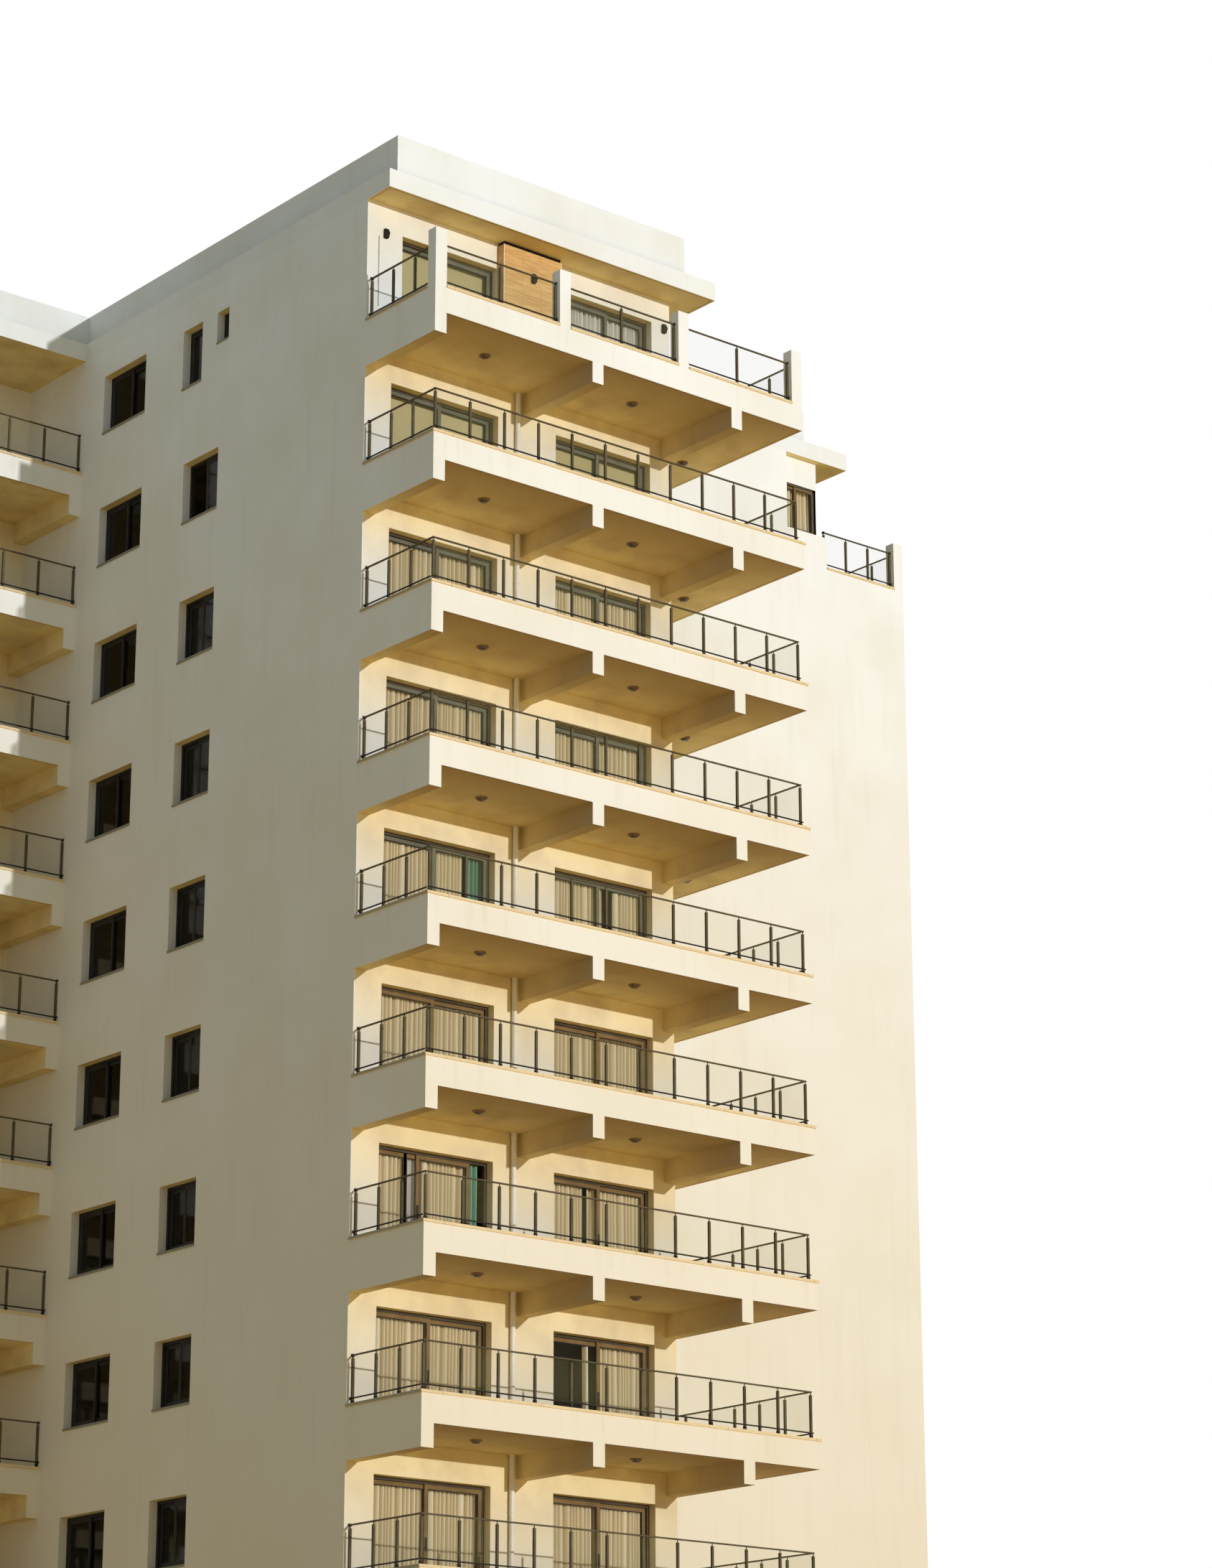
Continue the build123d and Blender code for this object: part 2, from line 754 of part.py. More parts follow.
with BuildPart() as wall_lamps:
    with BuildSketch(Plane.XY.offset(lamp_bottom)):
        with Locations(*[(x, y - wall_lamp_arm) for x, y in wall_lamp_feet]):
            RegularPolygon(wall_lamp_radius, round_sides)
    extrude(amount=wall_lamp_height)
    with BuildSketch(Plane.XY.offset(lamp_bottom + wall_lamp_height / 3)):
        for x, y in wall_lamp_feet:
            plan(x - wall_lamp_radius / 2, x + wall_lamp_radius / 2, y - wall_lamp_arm, y)
    extrude(amount=wall_lamp_height / 3)

# Each piece goes to a file of its own under its own name
pieces = {
    "front_floors": front_floors,
    "main_floors": main_floors,
    "wing_floors": wing_floors,
    "front_wall": front_wall,
    "front_lintels": front_lintels,
    "left_wall": left_wall,
    "left_spandrels": left_spandrels,
    "step_wall": step_wall,
    "setback_wall": setback_wall,
    "terrace_walls": terrace_walls,
    "right_wall": right_wall,
    "right_spandrels": right_spandrels,
    "rear_wall": rear_wall,
    "rear_spandrels": rear_spandrels,
    "wing_front_wall": wing_front_wall,
    "wing_lintels": wing_lintels,
    "wing_side_wall": wing_side_wall,
    "penthouse_wall": penthouse_wall,
    "corner_apron": corner_apron,
    "corner_lintel": corner_lintel,
    "terrace_door_lintel": terrace_door_lintel,
    "balcony_slabs": balcony_slabs,
    "side_slabs": side_slabs,
    "balcony_beams": balcony_beams,
    "front_upstands": front_upstands,
    "side_upstands": side_upstands,
    "penthouse_piers": penthouse_piers,
    "front_copings": front_copings,
    "side_copings": side_copings,
    "front_posts": front_posts,
    "side_posts": side_posts,
    "front_rails": front_rails,
    "side_rails": side_rails,
    "front_glass": front_glass,
    "side_glass": side_glass,
    "window_sills": window_sills,
    "front_roof": front_roof,
    "main_roof": main_roof,
    "wing_roof": wing_roof,
    "cross_parapets": cross_parapets,
    "side_parapets": side_parapets,
    "downpipes": downpipes,
    "ceiling_lamps": ceiling_lamps,
    "timber_cladding": timber_cladding,
    "wall_lamps": wall_lamps,
}

for name, piece in pieces.items():
    piece.part.label = name
    export_step(piece.part, f"parts/{name}.step")
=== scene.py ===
# %% [markdown]
# The apartment block arrives as plain solids. This lesson dresses it: paint,
# stone and tiles on the solids, and then the things that a construction model
# leaves out, which are sliding doors, windows, curtains, lamps and a rain pipe.
# Everything is in metres, +Z is up, and the street is on the -Y side.

import math

import bpy
import numpy as np
from mathutils import Matrix, Vector


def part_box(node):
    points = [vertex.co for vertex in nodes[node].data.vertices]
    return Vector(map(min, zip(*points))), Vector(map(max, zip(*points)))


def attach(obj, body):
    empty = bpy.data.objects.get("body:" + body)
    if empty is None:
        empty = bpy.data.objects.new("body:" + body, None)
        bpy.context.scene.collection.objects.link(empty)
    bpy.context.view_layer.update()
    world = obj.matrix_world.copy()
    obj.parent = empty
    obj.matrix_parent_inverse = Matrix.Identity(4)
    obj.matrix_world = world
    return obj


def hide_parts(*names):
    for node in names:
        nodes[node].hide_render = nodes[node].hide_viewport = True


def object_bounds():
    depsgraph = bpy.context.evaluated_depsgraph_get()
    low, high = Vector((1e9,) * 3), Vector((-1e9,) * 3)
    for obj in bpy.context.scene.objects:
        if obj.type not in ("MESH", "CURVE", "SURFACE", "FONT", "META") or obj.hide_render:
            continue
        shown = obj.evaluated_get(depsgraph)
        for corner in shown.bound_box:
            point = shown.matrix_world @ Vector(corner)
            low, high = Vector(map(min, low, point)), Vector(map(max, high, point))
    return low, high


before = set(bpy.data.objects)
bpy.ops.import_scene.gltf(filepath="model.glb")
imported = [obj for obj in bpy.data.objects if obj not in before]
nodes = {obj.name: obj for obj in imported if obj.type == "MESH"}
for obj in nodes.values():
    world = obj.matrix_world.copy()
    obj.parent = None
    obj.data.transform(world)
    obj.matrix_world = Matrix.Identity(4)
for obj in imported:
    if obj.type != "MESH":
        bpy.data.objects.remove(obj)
cad_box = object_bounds()
print("solids:", len(nodes))

# %% [markdown]
# A tall building repeats itself, so a few plan lines and one list of floor
# levels place every piece. The lines are read from the solids' own boxes, so
# the dress follows the building if a wall is ever moved.

# %% Plan lines and floor levels
storey_height = 3.0
storeys = 12
ground_floor = 0.30
slab_thick = 0.20
wall_thick = 0.25
floors = ground_floor + storey_height * np.arange(storeys)
penthouse = floors[-1]

left_face, front_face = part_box("front_wall")[0].xy
right_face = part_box("right_wall")[1].x
rear_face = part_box("rear_wall")[1].y
wing_left, wing_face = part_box("wing_front_wall")[0].xy
print("front wall stands at", round(front_face, 3), "and the left wall at", round(left_face, 3))

# %% [markdown]
# Blender's shaders work in linear light, while a paint chart gives sRGB hex
# values. One function turns the second into the first. Another adds a shader
# node with its settings and links, so that a material below reads as a recipe,
# and two more start a recipe and end it. The last one puts an object in.


# %% Small helpers
def linear(paint):
    """Below 0.04045 a channel is divided by 12.92; above, it is ((c + 0.055) / 1.055) to the 2.4."""
    channels = [int(paint[i : i + 2], 16) / 255 for i in (1, 3, 5)]
    return [c / 12.92 if c <= 0.04045 else ((c + 0.055) / 1.055) ** 2.4 for c in channels] + [1.0]


def add(tree, kind, sockets, **settings):
    """Adds a shader node; each socket gets an output to link, a hex colour or a plain value."""
    made = tree.nodes.new("ShaderNode" + kind)
    for key, value in settings.items():
        setattr(made, key, value)
    for key, value in sockets.items():
        if isinstance(value, bpy.types.NodeSocket):
            tree.links.new(value, made.inputs[key])
        else:
            made.inputs[key].default_value = linear(value) if isinstance(value, str) else value
    return made.outputs


def blank(name, **sockets):
    """A new material, with plain values set on the sockets of its shader, and its node tree."""
    material = bpy.data.materials.new(name)
    material.use_nodes = True
    shader = material.node_tree.nodes["Principled BSDF"]
    for key, value in sockets.items():
        shader.inputs[key.replace("_", " ")].default_value = value
    return material, material.node_tree


def coated(material, colour, bump):
    """The material, with its colour and its bumps linked to the shader."""
    tree = material.node_tree
    shader = tree.nodes["Principled BSDF"].inputs
    tree.links.new(colour, shader["Base Color"])
    tree.links.new(bump, shader["Normal"])
    return material


def in_scene(name, data):
    """A new object in the scene that shows the data, at the origin."""
    made = bpy.data.objects.new(name, data)
    bpy.context.scene.collection.objects.link(made)
    return made


# %% [markdown]
# The walls are cement render, rolled with cream masonry paint. The sun bleaches
# it in soft patches of two metres, a painted warm tint of light grows towards the
# ground, and rain draws faint streaks down the face.


# %% Paint in sun and rain
streaks_per_metre = (5.0, 5.0, 0.33)


def clouded(tree, place, scale, detail, low, high, start=0.0, end=1.0):
    """Noise with cells of 1 / scale metres, stretched so that low becomes start and high end."""
    noise = add(tree, "TexNoise", {"Vector": place, "Scale": scale, "Detail": detail})[0]
    stretch = {"Value": noise, "From Min": low, "From Max": high, "To Min": start, "To Max": end}
    return add(tree, "MapRange", stretch)[0]


def weathered(tree, place, fresh, faded, soiling):
    """Fresh to faded over patches of 2 m, yellower towards the ground as painted warm light, with streaks
    of 0.2 by 3 m.
    """
    soft = clouded(tree, place, scale=0.5, detail=5.0, low=0.36, high=0.66)
    clean = add(tree, "Mix", {0: soft, 6: fresh, 7: faded}, data_type="RGBA")[2]
    # Yellower towards the ground: a painted warm tint of the light on the lower storeys.
    height = add(tree, "SeparateXYZ", {0: place})[2]
    rise = add(tree, "MapRange", {"Value": height, "From Max": cad_box[1][2]})[0]
    paint = add(tree, "Mix", {0: rise, 6: "#e6d3ab", 7: clean}, data_type="RGBA")[2]
    slow = add(tree, "Mapping", {"Vector": place, "Scale": streaks_per_metre})[0]
    dirt = clouded(tree, slow, scale=1.0, detail=4.0, low=0.55, high=0.85, end=soiling)
    return soft, add(tree, "Mix", {0: dirt, 6: paint, 7: "#b9a988"}, data_type="RGBA")[2]


# %% [markdown]
# Under slabs the paint carries painted warm bounce light: on undersides, on
# the sides of beams and on the wall below a slab, less on the penthouse. The
# normal and the height above the floor find these places. Soot lies on them in
# clouds of 0.8 m, and a painted shade darkens them towards the street.


# %% Painted bounce light and shade under slabs
balcony_deep = 2.2
glow_from, glow_up_to = 0.9, 2.7
penthouse_glow_share = 0.4
near_face, near_level = 0.02, 0.01


def painted_glow_and_soot(tree, place, soft, sides, glow_under_slab):
    """Mask: 1 below, sides where a face looks along X, and a share of each storey's wall under its slab.
    Colour: painted warm bounce at the wall, and painted shade with soot in front of it."""
    aside, inward, height = add(tree, "SeparateXYZ", {0: place})
    facing = add(tree, "SeparateXYZ", {0: add(tree, "NewGeometry", {})["Normal"]})
    below = add(tree, "Math", {0: facing[2], 1: -0.5}, operation="LESS_THAN")[0]
    beside = add(tree, "Math", {0: facing[0], 1: sides}, operation="MULTIPLY")[0]
    beside = add(tree, "Math", {0: beside}, operation="ABSOLUTE")[0]
    outer = add(tree, "Math", {0: aside, 1: left_face, 2: near_face}, operation="COMPARE")[0]
    above = add(tree, "Math", {0: height, 1: ground_floor}, operation="SUBTRACT")[0]
    above = add(tree, "Math", {0: above, 1: storey_height}, operation="MODULO")[0]
    penthouse_glow = {"Value": height, "From Min": penthouse - near_level, "From Max": penthouse}
    penthouse_glow |= {"To Min": glow_under_slab, "To Max": penthouse_glow_share * glow_under_slab}
    penthouse_glow = add(tree, "MapRange", penthouse_glow)[0]
    wall_glow = {"Value": above, "From Min": glow_from, "From Max": glow_up_to, "To Max": penthouse_glow}
    wall_glow = add(tree, "MapRange", wall_glow)[0]
    upright = add(tree, "Math", {0: beside, 1: wall_glow}, operation="MAXIMUM")[0]
    upright = add(tree, "Math", {0: upright, 1: outer}, operation="SUBTRACT")[0]
    mask = add(tree, "Math", {0: below, 1: upright}, operation="MAXIMUM")[0]
    depth = {"Value": inward, "From Min": front_face - balcony_deep, "From Max": front_face}
    depth = add(tree, "MapRange", depth)[0]
    soot = clouded(tree, place, scale=1.3, detail=6.0, low=0.42, high=0.7, start=1.0, end=0.5)
    depth = add(tree, "Math", {0: depth, 1: soot}, operation="MULTIPLY")[0]
    # Painted warm bounce light at the wall, turning to painted shade towards the street.
    painted_bounce = add(tree, "Mix", {0: soft, 6: "#f4dfa4", 7: "#edd494"}, data_type="RGBA")[2]
    return mask, add(tree, "Mix", {0: depth, 6: "#b99d6e", 7: painted_bounce}, data_type="RGBA")[2]


# %% [markdown]
# Both meet in one recipe. The plasterer's float leaves shallow waves about
# half a metre across and the sand a grain of a few millimetres, which catch
# the low sun and are drawn in the normal alone.


# %% Cream paint on render
def masonry_paint(name, fresh, faded, soiling, sides=0.0, glow_under_slab=0.0):
    """Weathered paint, painted bounce light and shade where its mask is up, waves of 0.5 m and grain of 8
    mm.
    """
    material, tree = blank(name, Roughness=0.9, Specular_IOR_Level=0.1)
    place = add(tree, "TexCoord", {})["Object"]
    soft, stained = weathered(tree, place, fresh, faded, soiling)
    # Where the mask is up, painted bounce light, painted shade and soot replace the weathered paint.
    mask, soot_and_painted_light = painted_glow_and_soot(tree, place, soft, sides, glow_under_slab)
    coat = add(tree, "Mix", {0: mask, 6: stained, 7: soot_and_painted_light}, data_type="RGBA")[2]
    waves = add(tree, "TexNoise", {"Vector": place, "Scale": 2.0, "Detail": 2.0})[0]
    grain = add(tree, "TexNoise", {"Vector": place, "Scale": 120.0, "Detail": 2.0})[0]
    rough = add(tree, "Math", {0: grain, 1: 0.12, 2: waves}, operation="MULTIPLY_ADD")[0]
    bump = add(tree, "Bump", {"Height": rough, "Distance": 0.01, "Strength": 0.45})[0]
    return coated(material, coat, bump)


cream = ("#f4f3ed", "#edeadf")
rained = ("#f1f0ea", "#e9e7dc")
# Every paint here has painted bounce light and painted shade on faces that point down; the first one also
# on the wall under each slab, the next on beam sides.
recess_paint = masonry_paint("masonry paint with painted glow under a slab", *cream, 0.12, glow_under_slab=0.85)
beam_paint = masonry_paint("masonry paint on beams", *cream, 0.12, sides=0.9)
wall_paint = masonry_paint("cream masonry paint on render", *cream, 0.12)
coping_paint = masonry_paint("masonry paint soiled below a coping", *cream, 0.2)
roof_paint = masonry_paint("masonry paint greyed by rain", *rained, 0.12)
print("paints:", wall_paint.name, "and", coping_paint.name, "and", roof_paint.name)

# %% [markdown]
# A balcony slab is painted below and tiled above, and a roof slab carries felt
# with stone chippings. One mesh holds both sides, so the material looks at the
# normal, and where a face points up it changes to the floor's own pattern.
# The brick texture draws 400 mm tiles with 5 mm joints.


# %% Slabs: paint below, tiles or felt above
def slab_coat(name, paints, first, second, joint, joint_size, spacing):
    """The paint's colour where the normal points down or out, and the floor's where it points up."""
    # The paint below carries the painted bounce light and painted shade of the masonry paint.
    material = masonry_paint(name, *paints, 0.12)
    tree = material.node_tree
    colour = tree.nodes["Principled BSDF"].inputs["Base Color"]
    place = add(tree, "TexCoord", {})["Object"]
    blotches = add(tree, "TexNoise", {"Vector": place, "Scale": 1.3, "Detail": 6.0})[0]
    worn = add(tree, "Mix", {0: blotches, 6: first, 7: second}, data_type="RGBA")[2]
    laid = {"Vector": place, "Color1": worn, "Color2": worn, "Mortar": joint, "Scale": 1.0}
    laid |= {"Mortar Size": joint_size, "Brick Width": spacing, "Row Height": spacing}
    top = add(tree, "TexBrick", laid, offset=0.0)[0]
    rise = add(tree, "SeparateXYZ", {0: add(tree, "NewGeometry", {})["Normal"]})[2]
    upward = add(tree, "Math", {0: rise, 1: 0.5}, operation="GREATER_THAN")[0]
    paint = colour.links[0].from_socket
    both = add(tree, "Mix", {0: upward, 6: paint, 7: top}, data_type="RGBA")[2]
    tree.links.new(both, colour)
    return material


buff_tiles = ("#cdb88f", "#b9a276", "#857552", 0.005, 0.4)
roof_felt = ("#aaa59b", "#8b867d", "#7c776e", 0.012, 1.0)
tiled_slab = slab_coat("painted slab with buff floor tiles", cream, *buff_tiles)
felt_slab = slab_coat("painted slab with chipped roof felt", rained, *roof_felt)
print("slabs:", tiled_slab.name, "and", felt_slab.name)

# %% [markdown]
# Copings and sills are sawn limestone, laid in lengths of about two metres.
# Sawing leaves the bed's bands of 20 mm and small pits open, and rain darkens
# the joints. X and Y are folded back every 1.1 m, and where one comes back to
# zero there is a joint. Faces that point left are drawn darker and greyer.


# %% Sawn limestone
half_length, half_joint = 1.1, 0.006


def sawn_stone(name, light, dark):
    """Bands of noise squeezed along Z, pits where a fine noise is high, joints by a folded distance."""
    material, tree = blank(name, Roughness=0.7)
    place = add(tree, "TexCoord", {})["Object"]
    flat = add(tree, "Mapping", {"Vector": place, "Scale": (1.5, 1.5, 9.0)})[0]
    bands = add(tree, "TexNoise", {"Vector": flat, "Scale": 5.0, "Detail": 6.0})[0]
    stone = add(tree, "Mix", {0: bands, 6: light, 7: dark}, data_type="RGBA")[2]
    pits = clouded(tree, place, scale=45.0, detail=3.0, low=0.6, high=0.72)
    parts = add(tree, "SeparateXYZ", {0: place})
    ends = []
    for axis in (0, 1):
        fold = add(tree, "Math", {0: parts[axis], 1: half_length}, operation="PINGPONG")[0]
        ends.append(add(tree, "Math", {0: fold, 1: half_joint}, operation="LESS_THAN")[0])
    joint = add(tree, "Math", {0: ends[0], 1: ends[1]}, operation="MAXIMUM")[0]
    dark = add(tree, "Math", {0: joint, 1: pits}, operation="MAXIMUM")[0]
    worn = add(tree, "Math", {0: dark, 1: 0.55}, operation="MULTIPLY")[0]
    both = add(tree, "Mix", {0: worn, 6: stone, 7: "#6f5c41"}, data_type="RGBA")[2]
    # Faces that point left are mixed towards grey.
    turned_left = add(tree, "SeparateXYZ", {0: add(tree, "NewGeometry", {})["Normal"]})[0]
    left_grey = {"Value": turned_left, "From Min": -0.4, "From Max": -0.6, "To Max": 0.75}
    left_grey = add(tree, "MapRange", left_grey)[0]
    left_greyed_stone = add(tree, "Mix", {0: left_grey, 6: both, 7: "#7d7963"}, data_type="RGBA")[2]
    sunk = add(tree, "Math", {0: 1.0, 1: dark}, operation="SUBTRACT")[0]
    bump = add(tree, "Bump", {"Height": sunk, "Distance": 0.003, "Strength": 0.6})[0]
    return coated(material, left_greyed_stone, bump)


limestone = sawn_stone("sawn limestone", "#eed7a6", "#d6b680")
sill_stone = sawn_stone("weathered limestone", "#aba084", "#867a60")
print("stone:", limestone.name, "and", sill_stone.name)


# %% [markdown]
# Rails, posts and window frames are extruded aluminium with a powder coat: it
# is sprayed dry and baked, which leaves a satin film with a fine orange peel.
# Door frames are umber and the leaves bronze; on the upper storeys the leaves
# are drawn grey green, a painted reflection. Plastics, rubber and enamel differ
# from them only in tone, shine and grain, so one recipe serves all: two close
# tones in soft clouds, which are dust, and a fine grain in the normal.


# %% Coated metals and small finishes
def coating(
    name, tone, dusty, cloud, grain, depth, film=(0.35, 0.7), detail=2.0, strength=0.5, **sockets
):
    """Tone to dusty over clouds of cloud metres; the grain's cells are grain metres across."""
    material, tree = blank(name, **sockets)
    place = add(tree, "TexCoord", {})["Object"]
    dust = clouded(tree, place, 1 / cloud, 4.0, *film)
    colour = add(tree, "Mix", {0: dust, 6: tone, 7: dusty}, data_type="RGBA")[2]
    peel = add(tree, "TexNoise", {"Vector": place, "Scale": 1 / grain, "Detail": detail})[0]
    bump = add(tree, "Bump", {"Height": peel, "Distance": depth, "Strength": strength})[0]
    return coated(material, colour, bump)


satin = {"Roughness": 0.55, "Specular_IOR_Level": 0.12}
sprayed = {"cloud": 0.4, "grain": 0.005, "depth": 0.0004, **satin}
anthracite = coating("anthracite powder coat on aluminium", "#554b35", "#665b42", **sprayed)
black_coat = coating("black powder coat on aluminium", "#241f17", "#302a20", **sprayed)
umber = coating("umber powder coat on aluminium", "#43392a", "#524733", **sprayed)
# Bronze leaves drawn grey green: a painted reflection.
bronze_painted_grey = coating("bronze powder coat with a painted grey green reflection", "#656150", "#746f5b", **sprayed)
bronze = coating("bronze powder coat on aluminium", "#725a34", "#866b41", **sprayed)
dark_bronze = coating("dark bronze powder coat on aluminium", "#27241f", "#35312a", **sprayed)
rubber = coating("black rubber seal", "#1b1a18", "#2a2825", 0.2, 0.004, 0.0003, Roughness=0.8)
pipe_coat = coating("painted drain pipe", "#f0e9d9", "#e2d8c2", 0.7, 0.01, 0.001, Roughness=0.5)
lamp_bronze = coating("brushed bronze lamp ring", "#8f6b40", "#6b4e2e", 0.1, 0.003, 0.0004, Roughness=0.5)
lamp_drum = coating("smoked glass lamp drum", "#5a4328", "#6d5333", 0.1, 0.004, 0.0002, Roughness=0.3)
lamp_black = coating("black enamel lamp body", "#1d1a14", "#2b271f", 0.08, 0.004, 0.0003, **satin)
conduit_grey = coating("pale plastic conduit", "#d8ceb6", "#c2b59b", 0.3, 0.005, 0.0003, Roughness=0.6)
# The bead's brown is a painted shadow line.
drip_shadow_line = coating("painted shadow line of a drip bead", "#a98a5c", "#947649", 0.5, 0.01, 0.0005, Roughness=0.8)
shadow_black = coating("unlit gap behind boards", "#191410", "#241c14", 0.3, 0.01, 0.0005, Roughness=0.95)
print("coatings:", anthracite.name, "and", bronze.name)

# %% [markdown]
# Railing glass is laminated and a little green; the panes of the doors are
# clear double glazing, and the side windows have solar glass, which is nearly
# black by day. Light is traced badly through glass that bends rays, and no
# sun would reach the curtains, so all are drawn as a thin tinted film: mostly
# clear by alpha, with the gloss of glass. Dust gathers in clouds of half a
# metre, and rolled sheets are never quite flat, so the same recipe serves.

# %% Glass
rolled = {"cloud": 0.5, "grain": 1.0, "depth": 0.002, "film": (0.0, 1.0), "detail": 1.0, "strength": 0.3}
clear = {"Roughness": 0.05, "Specular_IOR_Level": 0.4, **rolled}
solar = {"Roughness": 0.05, "Specular_IOR_Level": 0.2, **rolled}
railing_glass = coating("laminated railing glass", "#7d8450", "#a39a60", Alpha=0.05, **clear)
pane_glass = coating("clear double glazing", "#3c4238", "#5f5d48", Alpha=0.07, **clear)
solar_glass = coating("solar control glass", "#0d0e0c", "#191a17", Alpha=0.6, **solar)
print("glass:", railing_glass.name, "and", pane_glass.name, "and", solar_glass.name)

# %% [markdown]
# The curtains are a plain cotton weave. Its threads are 0.4 mm apart, far
# finer than a picture of a whole building can show, so the weave is drawn
# 4 mm wide, as a soft ribbing. It follows the cloth, not the room, so it reads
# a UV map that counts metres of cut cloth. An attribute that holds the depth of
# each fold darkens the colour where the fold runs back: painted shade in the
# folds.


# %% Cloth
def woven(name, thread, shade, fold):
    """Ribs 4 mm apart along the cut width; dye from thread to shade, and painted shade in the fold colour
    where folds run back.
    """
    material, tree = blank(name, Roughness=0.95, Sheen_Weight=0.2)
    weave = add(tree, "UVMap", {}, uv_map="cut")[0]
    dye = add(tree, "TexNoise", {"Vector": weave, "Scale": 1.2, "Detail": 3.0})[0]
    even = add(tree, "Mix", {0: dye, 6: thread, 7: shade}, data_type="RGBA")[2]
    back = add(tree, "Attribute", {}, attribute_name="depth")["Fac"]
    # Painted shade: the fold colour where folds run back.
    colour = add(tree, "Mix", {0: back, 6: even, 7: fold}, data_type="RGBA")[2]
    ribs = add(tree, "TexWave", {"Vector": weave, "Scale": 80.0, "Distortion": 0.6})[1]
    bump = add(tree, "Bump", {"Height": ribs, "Distance": 0.001, "Strength": 0.4})[0]
    return coated(material, colour, bump)


# The third colour of each cloth is the painted shade in its folds.
cloths = {
    "cream": woven("cream cotton curtain", "#fdf1cd", "#f5e3b3", "#b99a60"),
    "gauze": woven("white gauze curtain", "#f7f2e6", "#eee8d8", "#c2b89e"),
    "green": woven("sea green curtain", "#8ebb9c", "#729f83", "#47705c"),
    "blind": woven("olive roller blind", "#ddcd97", "#cdbb80", "#cdbb80"),
}
print("cloths:", ", ".join(cloths))

# %% [markdown]
# The cladding between the penthouse doors looks like planed oak, oiled to
# honey. Grain runs along each board, so the noise is stretched 11 times along
# X. Boards come from different trees, so an attribute, set further down when
# the boards are cut, gives each its own tone.


# %% Oiled oak
def oiled_oak(name):
    """Grain lines 25 mm apart, darkened by the board's own tone."""
    material, tree = blank(name, Roughness=0.55)
    place = add(tree, "TexCoord", {})["Object"]
    along = add(tree, "Mapping", {"Vector": place, "Scale": (0.7, 1.0, 8.0)})[0]
    lines = add(tree, "TexNoise", {"Vector": along, "Scale": 5.0, "Detail": 6.0})[0]
    spread = add(tree, "MapRange", {"Value": lines, "From Min": 0.35, "From Max": 0.68})[0]
    wood = add(tree, "Mix", {0: spread, 6: "#deb470", 7: "#c8964c"}, data_type="RGBA")[2]
    tone = add(tree, "Attribute", {}, attribute_name="tone")["Fac"]
    part = add(tree, "Math", {0: tone, 1: 0.3}, operation="MULTIPLY")[0]
    colour = add(tree, "Mix", {0: part, 6: wood, 7: "#ad7838"}, data_type="RGBA")[2]
    bump = add(tree, "Bump", {"Height": lines, "Distance": 0.002, "Strength": 0.5})[0]
    return coated(material, colour, bump)


oak = oiled_oak("oiled oak boards")
print("wood:", oak.name)

# %% [markdown]
# Now the solids are painted. A table of names under each finish is easy to
# check against the building, and the last line stops the lesson if a solid
# was forgotten.

# %% Finish the solids
finishes = {
    wall_paint: "left_wall left_spandrels setback_wall terrace_walls right_wall right_spandrels rear_wall "
    "rear_spandrels wing_side_wall penthouse_wall corner_apron corner_lintel terrace_door_lintel "
    "penthouse_piers",
    recess_paint: "front_wall front_lintels step_wall wing_front_wall wing_lintels",
    beam_paint: "balcony_beams",
    coping_paint: "front_upstands side_upstands",
    roof_paint: "cross_parapets side_parapets",
    tiled_slab: "balcony_slabs side_slabs front_floors main_floors wing_floors",
    felt_slab: "front_roof main_roof wing_roof",
    limestone: "front_copings side_copings",
    sill_stone: "window_sills",
    anthracite: "front_posts side_posts front_rails side_rails",
    railing_glass: "front_glass side_glass",
    pipe_coat: "downpipes",
    lamp_bronze: "ceiling_lamps",
    lamp_black: "wall_lamps",
    oak: "timber_cladding",
}
painted = {name: material for material, names in finishes.items() for name in names.split()}
for name, material in painted.items():
    nodes[name].data.materials.clear()
    nodes[name].data.materials.append(material)
assert set(painted) == set(nodes), set(painted) ^ set(nodes)
print("painted", len(painted), "solids with", len(finishes), "finishes")

# %% [markdown]
# New pieces start as arrays. A bar, a pane or a board is a box between two
# corners, so a table of corners is enough for hundreds of them. The second
# function puts points and faces into a mesh object that rides on the building.


# %% Boxes and pieces from arrays
cube = np.array([(x, y, z) for x in (0, 1) for y in (0, 1) for z in (0, 1)], float)
cube_faces = np.array(
    [(0, 1, 3, 2), (4, 6, 7, 5), (0, 4, 5, 1), (2, 3, 7, 6), (0, 2, 6, 4), (1, 5, 7, 3)]
)
hard_crease = 40
pin_sides, pipe_sides, lamp_sides = 8, 20, 24


def boxes(rows):
    """Each row is a low and a high corner; a point is low + cube corner * (high - low)."""
    rows = np.asarray(rows, float).reshape(-1, 6)
    low, high = rows[:, None, :3], rows[:, None, 3:]
    points = low + cube * (high - low)
    faces = cube_faces + len(cube) * np.arange(len(rows))[:, None, None]
    return points.reshape(-1, 3), faces.reshape(-1, 4)


def piece(name, points, faces, material, slot=None, crease=None):
    """A mesh object on the building; with a crease angle it is smooth up to that angle."""
    mesh = bpy.data.meshes.new(name)
    mesh.from_pydata(points.tolist(), [], [tuple(face) for face in faces.tolist()])
    mesh.materials.append(material)
    if crease is not None:
        mesh.shade_smooth()
        mesh.set_sharp_from_angle(angle=math.radians(crease))
    made = in_scene(name, mesh)
    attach(made, "root")
    print(f"{name}: {len(points)} points, {len(faces)} faces")
    return made


# %% [markdown]
# A sliding door is a frame in the wall and leaves on two tracks, one behind
# the other. A window is the same with smaller bars. Both stand 180 mm behind
# the wall's face, which leaves the deep reveals of this block. Bars are first
# laid out flat, as start, end, bottom, top and two depths, and then turned to
# the wall that they belong to.

